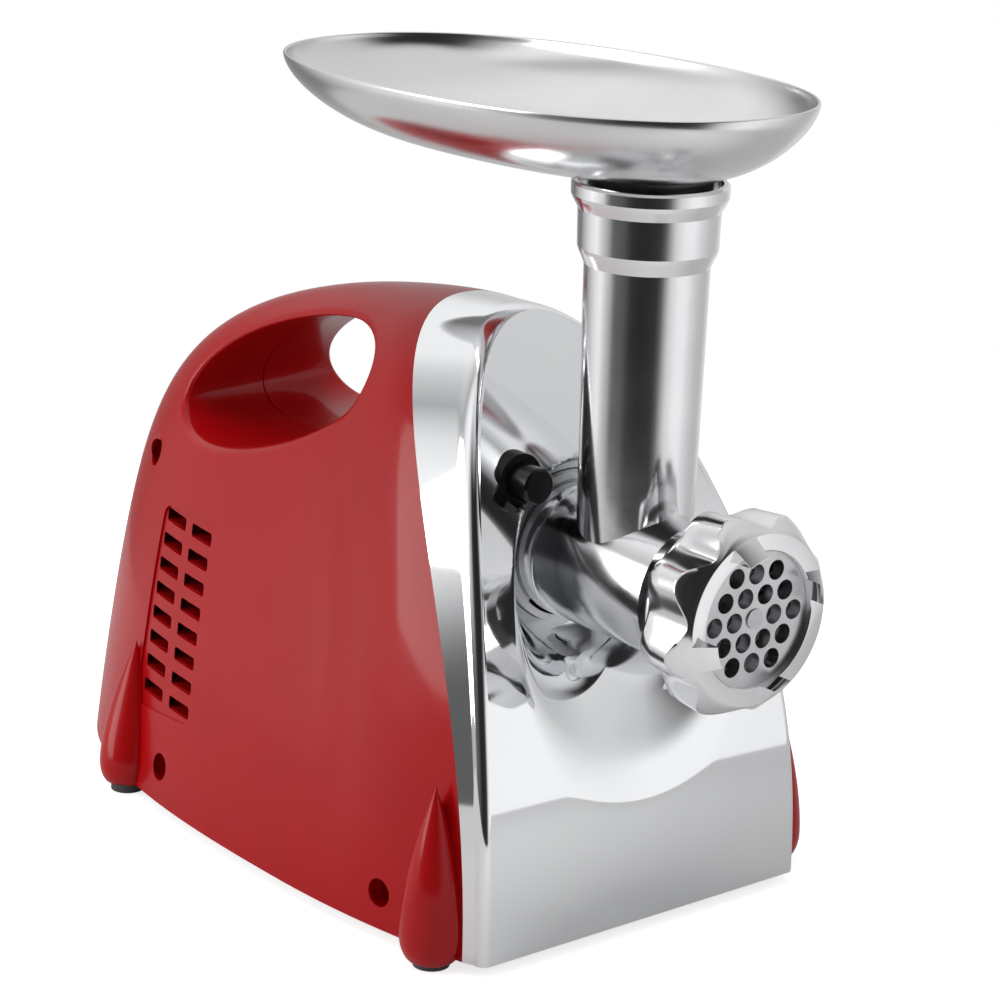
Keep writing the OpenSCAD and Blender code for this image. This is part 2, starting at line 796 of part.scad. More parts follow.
module commutator() {
    color([0.78, 0.46, 0.24]) at(motor_at, commutator_y) linear_extrude(13) difference() {
        circle(r = 11);
        circle(r = shaft_r + fixed_gap);
        for (i = [0:23]) rotate(15 * i) translate([9.6, -0.25]) square([3, 0.5]);
    }
}

module carbon_brushes() {
    color([0.12, 0.12, 0.12]) at(motor_at, commutator_y + 3) for (s = [0, 180]) rotate([0, 0, s])
        translate([11.1, -3, 0]) cube([15, 6, 7]);
}

module brush_bracket() {
    color([0.15, 0.15, 0.16]) at(motor_at, 0) difference() {
        union() {
            translate([0, 0, bracket_y]) cylinder(h = 5, r = 15);
            for (c = stator_corners) translate([c[0], c[1], stator_y + stator_len])
                cylinder(h = bracket_y + 5 - stator_y - stator_len, r = 5);
            for (a = [0:3]) rotate([0, 0, 45 + 90 * a]) translate([12, -3.5, bracket_y + 0.3])
                cube([bolt_out * sqrt(2) - 12, 7, 4.4]);
            for (s = [0, 180]) rotate([0, 0, s]) translate([13, -4.5, commutator_y + 1]) cube([15, 9, 11]);
            for (s = [0, 180]) rotate([0, 0, s]) translate([13, -4.5, commutator_y + 11]) cube([5, 9, 9]);
        }
        translate([0, 0, bracket_y - 1]) cylinder(h = 10, r = bearing_r - 2);
        for (c = stator_corners) translate([c[0], c[1], stator_y + stator_len - 5]) cylinder(h = 60, r = bolt_r + 0.15);
        for (s = [0, 180]) rotate([0, 0, s]) translate([10, -3, commutator_y + 3]) cube([30, 6, 7]);
    }
}

module motor_bolts() {
    color("silver") for (c = stator_corners) at(motor_at + c, case_end - 3) {
        cylinder(h = bracket_y + 5 - case_end + 3, r = bolt_r);
        translate([0, 0, bracket_y + 5 - case_end + 3]) cylinder(h = 3, r = 3.6);
        translate([0, 0, 2.8]) cylinder(h = stator_y - case_end + 0.2, r = 3.2);
    }
}

module cooling_fan() {
    blades = 9;
    color([0.2, 0.2, 0.22]) at(motor_at, fan_y) difference() {
        union() {
            cylinder(h = 9, r = 8);
            cylinder(h = 1.4, r = 25);
            for (i = [0:blades - 1]) rotate([0, 0, 360 * i / blades]) translate([6, -0.8, 0]) rotate([0, 0, 14])
                cube([19, 1.6, 8.5]);
        }
        translate([0, 0, -1]) cylinder(h = 20, r = shaft_r + fixed_gap);
    }
}

// ---------- release button ----------
button_front = 77.5;
button_skirt = 17;
guide_floor = 102;
latch_y = guide_floor + 1.8;
latch_dir = atan2(button_z, -button_x);
latch_far = norm([button_x, button_z]);

module button_place(y) {
    on_axis(y) translate([button_x, -button_z, 0]) children();
}

module release_button() {
    color([0.06, 0.06, 0.06]) {
        button_place(button_front) cylinder(h = 0.8, r1 = button_r - 0.8, r2 = button_r);
        button_place(button_front + 0.8) cylinder(h = button_skirt - 0.8, r = button_r);
        button_place(button_front + button_skirt - 1) cylinder(h = latch_y + 2 - button_front - button_skirt + 1, r = 2.5);
        button_place(latch_y) rotate([0, 0, latch_dir]) translate([0, -2.5, 0])
            cube([latch_far - neck_bore - 0.3, 5, 2]);
    }
}

module button_guide() {
    color([0.1, 0.1, 0.11]) difference() {
        union() {
            button_place(88) cylinder(h = guide_floor + 1.5 - 88, r = button_hole_r - 0.1);
            for (s = [-1, 1]) button_place(guide_floor) rotate([0, 0, latch_dir]) translate([-2, s * 5.7 - 1.5, 0])
                cube([6, 3, socket_floor - guide_floor]);
        }
        button_place(80) cylinder(h = 40, r = 2.5 + run_gap);
        button_place(80) cylinder(h = guide_floor - 80, r = button_r + run_gap);
    }
}

module button_spring() {
    turns = 4;
    steps = 14;
    wire = 0.5;
    long = guide_floor - button_front - button_skirt - 2 * wire - 0.1;
    n = turns * steps;
    rings = [for (i = [0:n]) let (a = 360 * i / steps) [for (j = [0:5]) let (r = 4.6 + wire * cos(60 * j))
        [r * cos(a), r * sin(a), wire + 0.05 + long * i / n + wire * sin(60 * j)]]];
    skin = [for (i = [0:n - 1]) for (j = [0:5]) let (
            a = 6 * i + j,
            b = 6 * i + (j + 1) % 6
        ) each [[a, b, b + 6], [a, b + 6, a + 6]]];
    color("silver") button_place(button_front + button_skirt) polyhedron(points = [for (r = rings) each r],
        faces = concat(skin, [[5, 4, 3, 2, 1, 0], [for (j = [0:5]) 6 * n + j]]));
}

// ---------- grinding head ----------
module grinding_barrel() {
    rim_r = tube_r + 6.2;
    collar_r = tube_r + 3.4;
    neck = tube_r + 0.9;
    top = tube_top;
    color([0.8, 0.81, 0.82]) difference() {
        union() {
            on_axis(0) rotate_extrude() polygon([[0, 1], [thread_r, 1], [thread_r, thread_end], [barrel_r + 1.5, thread_end + 5],
                [barrel_r, thread_end + 10], [barrel_r, 86.4], [barrel_r - 0.5, 86.7], [barrel_r, 87],
                [barrel_r, socket_y + 0.1], [barrel_r - 1, socket_y + 0.3], [barrel_r - 1, spigot_end], [0, spigot_end]]);
            translate([0, tube_y, axis_h]) rotate_extrude() polygon([[0, 0], [tube_r - 0.6, 0], [neck, top - 28.5],
                [collar_r - 0.5, top - 24], [collar_r, top - 22.5], [collar_r + 0.3, top - 9.5], [rim_r - 0.6, top - 6],
                [rim_r, top - 4.5], [rim_r, top - 0.8], [rim_r - 0.8, top], [0, top]]);
            on_axis(99.2) linear_extrude(4) for (s = [90, 270]) intersection() {
                circle(r = neck_bore - 0.4);
                sector(neck_bore, s - lug_half, s + lug_half);
            }
        }
        on_axis(-1) cylinder(h = plate_t + 1.1, r = plate_r + 0.1);
        on_axis(-1) cylinder(h = 92, r = chamber_r);
        on_axis(80) cylinder(h = 40, r = 12);
        translate([0, tube_y, axis_h]) cylinder(h = top + 1, r = tube_bore);
        translate([0, tube_y, axis_h + top - 22]) cylinder(h = 30, r = spout_r + 0.08);
        translate([0, tube_y, axis_h + top - 5.5]) cylinder(h = 10, r = rim_r - 2.2);
    }
}

module auger_washer() {
    color([0.92, 0.92, 0.9]) {
        on_axis(89.3) tube(15, 9 + run_gap, 1.7);
        on_axis(90.8) tube(12, 9 + run_gap, 14);
    }
}

// Flight of the auger: a ridge swept along a helix
flight_turns = 2.6;
flight_steps = 20;

function flight_ring(i, n) = let (
        k = i / n,
        a = 360 * flight_turns * k,
        y = mix(auger_start + 4, 84, k),
        tip = min(1, 0.35 + 6 * k, 0.35 + 6 * (1 - k))
    ) [for (p = [[7, -4], [chamber_r - 0.6, -1.6 * tip], [chamber_r - 0.6, 1.6 * tip], [7, 4]])
        [p[0] * cos(a), p[0] * sin(a), y + p[1]]];

module flight() {
    n = round(flight_turns * flight_steps);
    rings = [for (i = [0:n]) flight_ring(i, n)];
    skin = [for (i = [0:n - 1]) for (j = [0:3]) let (
            a = 4 * i + j,
            b = 4 * i + (j + 1) % 4
        ) each [[a, b, b + 4], [a, b + 4, a + 4]]];
    polyhedron(points = [for (r = rings) each r], faces = concat(skin, [[3, 2, 1, 0], [4 * n, 4 * n + 1, 4 * n + 2, 4 * n + 3]]));
}

stud_r = 3.5;
square_side = 8;

module auger() {
    color([0.78, 0.79, 0.8]) on_axis(0) {
        flight();
        translate([0, 0, auger_start]) cylinder(h = 88.8 - auger_start, r = 9.5);
        translate([0, 0, 88]) cylinder(h = 17, r = 9);
        translate([0, 0, 104.5]) cylinder(h = 18, r = hex_af / 2 / cos(30), $fn = 6);
        translate([-square_side / 2, -square_side / 2, plate_t + 0.2]) cube([square_side, square_side, 8]);
        translate([0, 0, -0.6]) cylinder(h = 8, r = stud_r);
    }
}

module cutting_knife() {
    blade = plate_r - 5.5;
    color([0.7, 0.71, 0.73]) on_axis(knife_y) difference() {
        union() {
            cylinder(h = knife_t - 0.1, r = 8.5);
            for (i = [0:3]) rotate([0, 0, 90 * i]) linear_extrude(knife_t - 1.5)
                polygon([[0, -4], [10, -4.5], [blade - 1, -1.5], [blade, 1], [blade - 2, 3], [8, 4.5], [0, 4]]);
        }
        translate([-square_side / 2 - 0.05, -square_side / 2 - 0.05, -1])
            cube([square_side + 0.1, square_side + 0.1, 10]);
    }
}

module cutting_plate() {
    rows = [3, 4, 5, 4, 3];
    row_step = plate_pitch * sin(60);
    color([0.72, 0.73, 0.75]) on_axis(0) difference() {
        cylinder(h = plate_t, r = plate_r);
        translate([0, 0, -1]) cylinder(h = 10, r = stud_r + run_gap);
        for (j = [0:4]) for (i = [0:rows[j] - 1])
            if (j != 2 || i != 2)
                translate([(i - (rows[j] - 1) / 2) * plate_pitch, (j - 2) * row_step, -1])
                    cylinder(h = 10, r = plate_hole_r);
    }
}

lobe_phase = 14;
flute_r = 9;
lip_bore = plate_r - 3;

module ring_nut() {
    inner = thread_r + run_gap;
    color([0.8, 0.81, 0.82]) on_axis(0) difference() {
        rotate_extrude() polygon([[lip_bore, -plate_gap], [lip_bore - 0.4, -1.2], [thread_r + 0.2, -nut_lip],
            [nut_r - 4.5, 2.6], [nut_r - 1, 3], [nut_r, 4], [nut_r, nut_back - 2], [nut_r - 1.5, nut_back],
            [inner, nut_back], [inner, -plate_gap]]);
        for (i = [0:nut_lobes - 1]) rotate([0, 0, -(lobe_phase + 360 / nut_lobes * (i + 0.5))])
            translate([nut_r + 3.6, 0, -10]) cylinder(h = 60, r = flute_r);
        for (i = [0:3]) rotate([0, 0, -(lobe_phase + 90 * i)])
            translate([lip_bore - 6, -6.5, -10]) cube([30, 13, 12.4]);
    }
}

// ---------- tray ----------
spout_r = 21.2;
tray_mid_y = 121;
tray_rim_z = 164.5;
tray_slope = 0.023;
floor_len = 72;
floor_w = 30;
floor_mid_y = 112;

// Tray ring at depth share k (0 at the floor, 1 at the rim), taken in by t
function tray_ring(k, t, lift = 0) = let (
        g = pow(max(1 - pow(1 - k, 1.6), 0), 1 / 1.6),
        a = mix(floor_len, tray_len, g) - t,
        b = mix(floor_w, tray_w, g) - t,
        mid = mix(floor_mid_y, tray_mid_y, g),
        n = 48
    ) [for (j = [0:n - 1]) let (
            s = 360 * (j + 0.5) / n,
            y = mid + a * sign(cos(s)) * pow(abs(cos(s)), 2 / 2.25)
        ) [-b * sign(sin(s)) * pow(abs(sin(s)), 2 / 2.25), y,
            axis_h + tray_rim_z - tray_deep * (1 - k) + lift - tray_slope * (y - tray_mid_y)]];

tray_levels = [0, 0.04, 0.12, 0.25, 0.42, 0.6, 0.8, 1];

module tray() {
    color([0.84, 0.85, 0.86]) difference() {
        union() {
            difference() {
                loft([for (k = tray_levels) tray_ring(k, 0)]);
                loft(concat([for (k = tray_levels) tray_ring(k, tray_t, tray_t)], [tray_ring(1, tray_t, 9)]));
            }
            translate([0, tube_y, axis_h + tube_top - 22]) cylinder(h = 24.8, r = spout_r);
        }
        translate([0, tube_y, axis_h + tube_top - 30]) cylinder(h = 60, r = spout_r - 1.2);
    }
}

// ---------- assembly ----------
module place() {
    translate([0, -part_mid_y, 0]) children();
}

place() housing_right_shell();
place() housing_left_shell();
place() front_panel();
place() base_plate();
place() rubber_feet();
place() side_screws();
place() base_screws();
place() cord_gland();
place() switch_frame();
place() power_rocker();
place() gearbox_front();
place() gearbox_cover();
place() gearbox_screws();
place() output_bush();
place() output_gear();
place() middle_gear();
place() first_gear();
place() gear_shafts();
place() motor_shaft();
place() motor_bearings();
place() stator_core();
place() field_coils();
place() rotor_core();
place() rotor_windings();
place() commutator();
place() carbon_brushes();
place() brush_bracket();
place() motor_bolts();
place() cooling_fan();
place() release_button();
place() button_guide();
place() button_spring();
place() grinding_barrel();
place() auger_washer();
place() auger();
place() cutting_knife();
place() cutting_plate();
place() ring_nut();
place() tray();
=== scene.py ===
"""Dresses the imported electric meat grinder: housing, front, ring nut, tray, materials, light and camera."""
import json
import math

import bmesh
import bpy
from mathutils import Euler, Matrix, Vector


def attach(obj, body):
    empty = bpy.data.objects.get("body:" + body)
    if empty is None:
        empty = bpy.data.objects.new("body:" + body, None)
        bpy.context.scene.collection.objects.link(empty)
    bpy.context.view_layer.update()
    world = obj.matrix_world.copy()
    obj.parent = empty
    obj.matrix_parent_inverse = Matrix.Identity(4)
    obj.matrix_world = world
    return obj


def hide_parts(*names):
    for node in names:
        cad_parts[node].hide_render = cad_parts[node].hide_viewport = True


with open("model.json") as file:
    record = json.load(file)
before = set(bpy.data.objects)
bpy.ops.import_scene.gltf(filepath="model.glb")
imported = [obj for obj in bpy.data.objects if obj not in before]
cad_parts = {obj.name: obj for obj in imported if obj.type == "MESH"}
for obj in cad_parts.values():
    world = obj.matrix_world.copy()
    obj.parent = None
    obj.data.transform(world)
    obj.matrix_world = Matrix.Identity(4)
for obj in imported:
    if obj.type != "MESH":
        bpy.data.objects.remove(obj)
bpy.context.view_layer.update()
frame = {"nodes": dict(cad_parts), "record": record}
nodes = frame["nodes"]

MM = 0.001
# height of the grinding axis, middle of the whole part along y, and gap under the housing
AXIS_H, MID_Y, FOOT_GAP = 130.0, 174.8, 4.0


def row(x, y, z):
    """Millimetres in the working frame (y from the cutting plate, z from the table) to the row frame."""
    return Vector((x * MM, (y - MID_Y) * MM, z * MM))


def mix(a, b, k):
    return a + (b - a) * k


def spread(n):
    return [i / n for i in range(n + 1)]


def full_turn(steps):
    """Angles evenly round a circle, in radians."""
    return [2 * math.pi * i / steps for i in range(steps)]


def disc(cy, cz, r, steps=40):
    return [(cy + r * math.cos(a), cz + r * math.sin(a)) for a in full_turn(steps)]


def across(sign, a, b):
    """The stretch of x between distances a and b from the middle. sign is 1 for the half at x < 0."""
    return sorted((-sign * a, -sign * b))


# ---------------------------------------------------------------- mesh helpers
# points nearer than this are merged, in metres
MERGE = 2e-6


def add_mesh(name, verts, faces, smooth=True):
    mesh = bpy.data.meshes.new(name)
    mesh.from_pydata([tuple(v) for v in verts], [], faces)
    mesh.validate()
    mesh.update()
    obj = bpy.data.objects.new(name, mesh)
    bpy.context.scene.collection.objects.link(obj)
    for poly in mesh.polygons:
        poly.use_smooth = smooth
    return obj


def recalc(obj):
    bm = bmesh.new()
    bm.from_mesh(obj.data)
    bmesh.ops.remove_doubles(bm, verts=bm.verts, dist=MERGE)
    bmesh.ops.recalc_face_normals(bm, faces=bm.faces)
    bm.to_mesh(obj.data)
    bm.free()


def grid_faces(rows, cols, first=0, closed=False, flip=False):
    """Quads of a rows x cols grid of vertices, counted row by row from first."""
    faces = []
    for i in range(rows - 1):
        for j in range(cols if closed else cols - 1):
            a = first + i * cols + j
            b = first + i * cols + (j + 1) % cols
            quad = (a, b, b + cols, a + cols)
            faces.append(quad[::-1] if flip else quad)
    return faces


def thick_grid(name, outer, inner):
    """Closed solid between two grids of points with the same rows and columns."""
    rows, cols = len(outer), len(outer[0])
    count = rows * cols
    verts = [p for r in outer for p in r] + [p for r in inner for p in r]
    faces = grid_faces(rows, cols) + grid_faces(rows, cols, count, flip=True)
    rim = list(range(cols)) + [i * cols + cols - 1 for i in range(1, rows)]
    rim += [(rows - 1) * cols + j for j in range(cols - 2, -1, -1)]
    rim += [i * cols for i in range(rows - 2, 0, -1)]
    for k, a in enumerate(rim):
        b = rim[(k + 1) % len(rim)]
        faces.append((b, a, a + count, b + count))
    obj = add_mesh(name, verts, faces)
    recalc(obj)
    return obj


def ring_solid(name, rings, capped=False):
    """Closed solid through rings of points: both ends are capped, or else the last ring joins the first."""
    verts = [p for ring in rings for p in ring]
    count = len(rings[0])
    last = len(verts) - count
    faces = grid_faces(len(rings), count, closed=True)
    if capped:
        faces += [tuple(range(count)), tuple(range(len(verts) - 1, last - 1, -1))]
    else:
        faces += [(last + j, last + (j + 1) % count, (j + 1) % count, j) for j in range(count)]
    obj = add_mesh(name, verts, faces)
    recalc(obj)
    return obj


def prism(name, outline, low, high, axis="x"):
    """Closed prism of a 2-D outline in millimetres: (y, z) along x, or (x, z) along y."""
    verts = []
    for s in (low, high):
        verts += [row(s, a, b) if axis == "x" else row(a, s, b) for a, b in outline]
    n = len(outline)
    faces = [tuple(range(n)), tuple(range(2 * n - 1, n - 1, -1))]
    faces += [(i, i + n, (i + 1) % n + n, (i + 1) % n) for i in range(n)]
    obj = add_mesh(name, verts, faces, smooth=False)
    recalc(obj)
    return obj


def rounded_box(cy, cz, hy, hz, r, tilt=0.0, steps=5):
    """Outline round (cy, cz) with half-sizes hy and hz, corners of radius r, turned by tilt degrees."""
    pts = []
    for k, (sy, sz) in enumerate(((1, 1), (-1, 1), (-1, -1), (1, -1))):
        for i in range(steps + 1):
            a = math.radians(90 * k + 90 * i / steps)
            pts.append((sy * (hy - r) + r * math.cos(a), sz * (hz - r) + r * math.sin(a)))
    c, s = math.cos(math.radians(tilt)), math.sin(math.radians(tilt))
    return [(cy + a * c - b * s, cz + a * s + b * c) for a, b in pts]


def join(objs, name):
    bpy.ops.object.select_all(action="DESELECT")
    for o in objs:
        o.select_set(True)
    bpy.context.view_layer.objects.active = objs[0]
    bpy.ops.object.join()
    objs[0].name = name
    objs[0].data.name = name
    return objs[0]


def apply_modifiers(obj):
    bpy.context.view_layer.update()
    graph = bpy.context.evaluated_depsgraph_get()
    mesh = bpy.data.meshes.new_from_object(obj.evaluated_get(graph))
    obj.modifiers.clear()
    obj.data = mesh


def cut(obj, tool):
    """Takes tool away from obj, and removes tool."""
    mod = obj.modifiers.new("cut", "BOOLEAN")
    mod.operation = "DIFFERENCE"
    mod.solver = "EXACT"
    mod.object = tool
    apply_modifiers(obj)
    bpy.data.objects.remove(tool, do_unlink=True)


def soft_shade(obj, angle):
    """Smooth shading, with edges sharper than angle degrees kept."""
    mesh = obj.data
    for poly in mesh.polygons:
        poly.use_smooth = True
    mesh.set_sharp_from_angle(angle=math.radians(angle))


# ---------------------------------------------------------------- housing surface
# seam between front and shells: its place at the foot, its lean up to the crown, and its half-width
SEAM_FOOT, SEAM_LEAN, SEAM_W = 55.0, 103.0, 76.0
# shells: greatest half-width and where it is, height of the crown over the foot, and the rear end
HOUSE_W, WIDEST_Y, CROWN_H, HOUSE_REAR = 87.0, 150.0, 206.0, 347.0
LEAN_POWER = 2.2
# arches of the front's face, its rounded edge and the seam: half-width, height, foot, lean and the two powers
FACE = (71.0, 206.0, 46.5, 76.0, 2.2, 2.0)
EDGE = (FACE[0] + 3.2, FACE[1] + 1.6, FACE[2] + 4.2, FACE[3] + 4, 2.35, 2.05)
SEAM = (SEAM_W, CROWN_H, SEAM_FOOT, SEAM_LEAN, 2.7, 2.2)
# how squarely the plan and the crown line end at the rear, and how the crown falls on the way
PLAN_POWER, CROWN_POWER, CROWN_FALL = 2.6, 6, (13.8, 41.8)
# powers of the arches behind the seam, and the share of the length in which they change to these
REAR_POWERS, POWER_REACH = (1.12, 2.35), 0.26
# least half-width and height of an arch
THIN = 0.01


def red_arch(u, t=0.0):
    """Half-width, height, foot, lean and two powers of the arch at share u behind the seam, inset by t."""
    foot = mix(SEAM_FOOT, HOUSE_REAR - t, u)
    if foot < WIDEST_Y:
        w = HOUSE_W - t - (HOUSE_W - SEAM_W) * ((WIDEST_Y - foot) / (WIDEST_Y - SEAM_FOOT)) ** 2
    else:
        k = min((foot - WIDEST_Y) / (HOUSE_REAR - t - WIDEST_Y), 1.0)
        w = (HOUSE_W - t) * max(1 - k ** PLAN_POWER, 0.0) ** (1 / PLAN_POWER)
    k = max(u, 0.0)
    crown = CROWN_H - t - CROWN_FALL[0] * k - CROWN_FALL[1] * k * k
    h = crown * max(1 - k ** CROWN_POWER, 0.0) ** (1 / CROWN_POWER)
    s = min(k / POWER_REACH, 1.0)
    blend = s * s * (3 - 2 * s)
    n, m = (mix(a, b, blend) for a, b in zip(SEAM[4:], REAR_POWERS))
    return max(w, THIN), max(h, THIN), foot, SEAM_LEAN * (1 - u), n, m


def arch_point(a, psi):
    """Point of arch a in direction psi: 0 at the foot with x < 0, pi/2 at the crown, pi at the other foot."""
    w, h, foot, lean, n, m = a
    c, s = abs(math.cos(psi)), math.sin(psi)
    low, high = 0.5, 1.5
    for _ in range(30):
        rho = (low + high) / 2
        if (rho * c) ** m + (rho * s) ** n > 1:
            high = rho
        else:
            low = rho
    z = rho * s
    x = -w * rho * c if psi <= math.pi / 2 else w * rho * c
    return x, foot + lean * z ** LEAN_POWER, FOOT_GAP + h * z


def side_x(y, z, t=0.0):
    """Half-width of the red shells at (y, z), inset by t."""
    h = z - FOOT_GAP
    low, high = 0.0, 0.9995
    for _ in range(40):
        u = (low + high) / 2
        a = red_arch(u, t)
        if h > a[1] or a[2] + a[3] * (h / a[1]) ** LEAN_POWER > y:
            high = u
        else:
            low = u
    a = red_arch((low + high) / 2, t)
    share = min(h / a[1], 1.0)
    return a[0] * max(1 - share ** a[4], 0.0) ** (1 / a[5])


# the rearmost full ring, the rows along a shell and across half an arch, and how the rows crowd to the rear
LAST_U, SHELL_ROWS, SHELL_COLS, ROW_CROWD = 0.9992, 84, 72, 2.2
CLOSING = (0.8, 0.55, 0.3, 0.1, 0.0)


def shell_grid(t, sign):
    """Grid of points over one half, from the seam to the rear, closed there by rings drawn in to the foot."""
    us = [LAST_U * (1 - (1 - k) ** ROW_CROWD) for k in spread(SHELL_ROWS)]
    psis = [math.pi / 2 * k for k in spread(SHELL_COLS)]
    arches = [[arch_point(red_arch(u, t), p) for p in psis] for u in us]
    rear = arches[-1]
    for share in CLOSING:
        arches.append([(x * share, y, FOOT_GAP + (z - FOOT_GAP) * share) for x, y, z in rear])
    return [[row(sign * x, y, z) for x, y, z in ring] for ring in arches]


# ---------------------------------------------------------------- hand opening
WALL = 2.6
# middle of the opening, its half-length and half-height, tilt and power, and radius of its lip
GRIP = (224.0, AXIS_H + 36.0)
GRIP_LONG, GRIP_HIGH, GRIP_TILT, GRIP_POWER = 64.0, 22.4, math.radians(-18), 2.05
LIP, LIP_STEPS = 3.5, 7
# half the gap where the two liners meet, and how far its edge is set back
GROOVE, GROOVE_DEEP = 0.15, 0.5
# shares of the depth at which the liner has a ring
LINER_SHARES = (0.7, 0.4, 0.12, 0.008)


def grip_outline(g, steps=96):
    """Outline of the hand opening, grown by g along its own normal."""
    pts = []
    for t in full_turn(steps):
        c, s = math.cos(t), math.sin(t)
        p = math.copysign(abs(c) ** (2 / GRIP_POWER), c)
        q = math.copysign(abs(s) ** (2 / GRIP_POWER), s)
        nx = math.copysign(abs(p) ** (GRIP_POWER - 1), p) / GRIP_LONG
        nz = math.copysign(abs(q) ** (GRIP_POWER - 1), q) / GRIP_HIGH
        k = g / math.hypot(nx, nz)
        a, b = GRIP_LONG * p + nx * k, GRIP_HIGH * q + nz * k
        pts.append((GRIP[0] + a * math.cos(GRIP_TILT) - b * math.sin(GRIP_TILT),
                    GRIP[1] + a * math.sin(GRIP_TILT) + b * math.cos(GRIP_TILT)))
    return pts


def grip_liner(name, sign):
    """Rounded lip and wall of the hand opening, from the outer surface to the middle seam."""
    rings = [[row(-sign * (side_x(y, z) - 0.25), y, z) for y, z in grip_outline(LIP + 1.2)]]
    outer = grip_outline(LIP)
    rings.append([row(-sign * side_x(y, z), y, z) for y, z in outer])
    for i in range(1, LIP_STEPS + 1):
        a = math.pi / 2 * i / LIP_STEPS
        drop = LIP * (1 - math.cos(a))
        outline = grip_outline(LIP * (1 - math.sin(a)))
        rings.append([row(-sign * (side_x(y, z) - drop), y, z) for y, z in outline])
    edge = grip_outline(0)
    depth = [side_x(y, z) - LIP for y, z in edge]
    for k in LINER_SHARES:
        rings.append([row(-sign * d * k, y, z) for (y, z), d in zip(edge, depth)])
    # a fine groove where the two halves meet, then the hidden back of the liner
    rings.append([row(-sign * GROOVE, y, z) for y, z in grip_outline(GROOVE_DEEP)])
    rings.append([row(-sign * GROOVE, y, z) for y, z in grip_outline(WALL)])
    rings.append([row(-sign * (side_x(y, z) - 5.5), y, z) for y, z in grip_outline(LIP + 0.6)])
    return ring_solid(name, rings)


# ---------------------------------------------------------------- pods, vents, screws, switch
# a pod's half-spacing, place along the housing, height, and lean inwards and backwards in degrees
FRONT_POD, REAR_POD = (80.0, 67.0, 64.0, 0.0, 0.0), (78.5, 262.0, 56.0, 10.0, 9.0)
# a pod's radius, gap over the table, height of its round foot, share of the radius at the foot, and taper
POD_R, POD_LIFT, POD_ROUND, POD_FOOT, POD_TAPER = 11.5, 1.6, 10.0, 0.55, 1.7


def pod(name, sign, place):
    """Teardrop pod: a turned form, round below and drawn to a point above."""
    px, py, high, inwards, backwards = place
    profile = [(0.05, 0.0), (POD_R * 0.5, 0.0)]
    for k in spread(8):
        a = math.pi / 2 * k
        profile.append((POD_R * mix(POD_FOOT, 1, math.sin(a)), POD_ROUND * (1 - math.cos(a))))
    for k in spread(26)[1:]:
        profile.append((POD_R * max(1 - k ** POD_TAPER, 0.012), POD_ROUND + (high - POD_ROUND) * k))
    lean = Euler((math.radians(-backwards), math.radians(sign * inwards), 0))
    rings = []
    for r, h in profile:
        ring = []
        for a in full_turn(48):
            point = Vector((-sign * r * math.cos(a), r * math.sin(a), h))
            point.rotate(lean)
            ring.append(row(point.x - sign * px, point.y + py, point.z + POD_LIFT))
        rings.append(ring)
    return ring_solid(name, rings, capped=True)


# vent slots: middle of the rear top one, rearward lean of a column, spacing of the columns and of the rows,
# half-sizes, and how far a slot runs rearwards for its depth
VENT_TOP, VENT_LEAN, VENT_STEP, VENT_PITCH = (259.7, 106.3), -8.7, 22.0, 9.1
VENT_ROWS, VENT_HALF, VENT_SLANT = 8, (7.1, 2.35), 0.9
# the sunk field round the slots: middle, half-sizes, corner radius, tilt and corner steps, and its depth
FIELD, FIELD_DEEP = (245.8, 74.0, 22.2, 37.7, 4.0, -6.0, 8), 0.8
# half-thickness of a ledge, and where it starts and ends under the skin
LEDGE, LEDGE_FROM, LEDGE_TO = 0.4, 1.6, 9.0


def vent_places():
    for column in (0, 1):
        for i in range(VENT_ROWS):
            y = VENT_TOP[0] - column * VENT_STEP + VENT_LEAN * i / (VENT_ROWS - 1)
            yield y, VENT_TOP[1] - VENT_PITCH * i


def slant(obj, seat):
    """Leans a piece of the vent so that it runs rearwards as it goes in from the skin at x = seat."""
    for v in obj.data.vertices:
        v.co.y += VENT_SLANT * (seat * MM - abs(v.co.x))
    return obj


def vent_cutters(sign):
    return [slant(prism("vent", rounded_box(y, z, *VENT_HALF, 1.0), *across(sign, 100.0, 48.0)), side_x(y, z))
            for y, z in vent_places()]


def vent_ledges(sign):
    """Thin ledges behind the lower edges of the vent slots."""
    ledges = []
    for y, z in vent_places():
        seat = side_x(y, z)
        low = z - VENT_HALF[1] - 0.7
        plate = rounded_box(y, low + LEDGE, VENT_HALF[0] - 0.2, LEDGE, 0.2)
        ends = across(sign, seat - LEDGE_FROM, seat - LEDGE_TO)
        ledges.append(slant(prism("ledge", plate, *ends), seat))
    return ledges


# side screws: place along the housing, height, and distance of the seat from the middle
SIDE_SCREWS = ((94.0, 17.5, 60.0), (236.0, 17.5, 60.0), (296.0, 122.5, 22.0))
# radii of the counterbore, the boss round it and the screw's hole, and depth of the boss behind the seat
BORE_R, BOSS_R, HOLE_R, BOSS_DEEP = 5.2, 8.0, 2.2, 15


def side_screws(sign):
    """The half at x > 0 has the two low ones only."""
    return SIDE_SCREWS if sign > 0 else SIDE_SCREWS[:2]


def boss(sign, y, z, seat):
    """Counterbored boss behind a side screw, ending just inside the outer skin."""
    edge = side_x(y, z)
    section = ((BOSS_R, seat - BOSS_DEEP), (BOSS_R, edge - 4.0), (BORE_R, edge - 0.9), (BORE_R, seat),
               (HOLE_R, seat), (HOLE_R, seat - BOSS_DEEP))
    return ring_solid("boss", [[row(-sign * x, *p) for p in disc(y, z, r)] for r, x in section])


# the switch's place, distance from the middle and lean in degrees, and its hole and seat as rounded boxes
SWITCH_AT, SWITCH_SEAT, SWITCH_LEAN = (105.0, 66.0), 77.2, 7.0
SWITCH_HOLE, SWITCH_RIM = (8, 13, 0.5), (10.2, 15.2, 1.0)
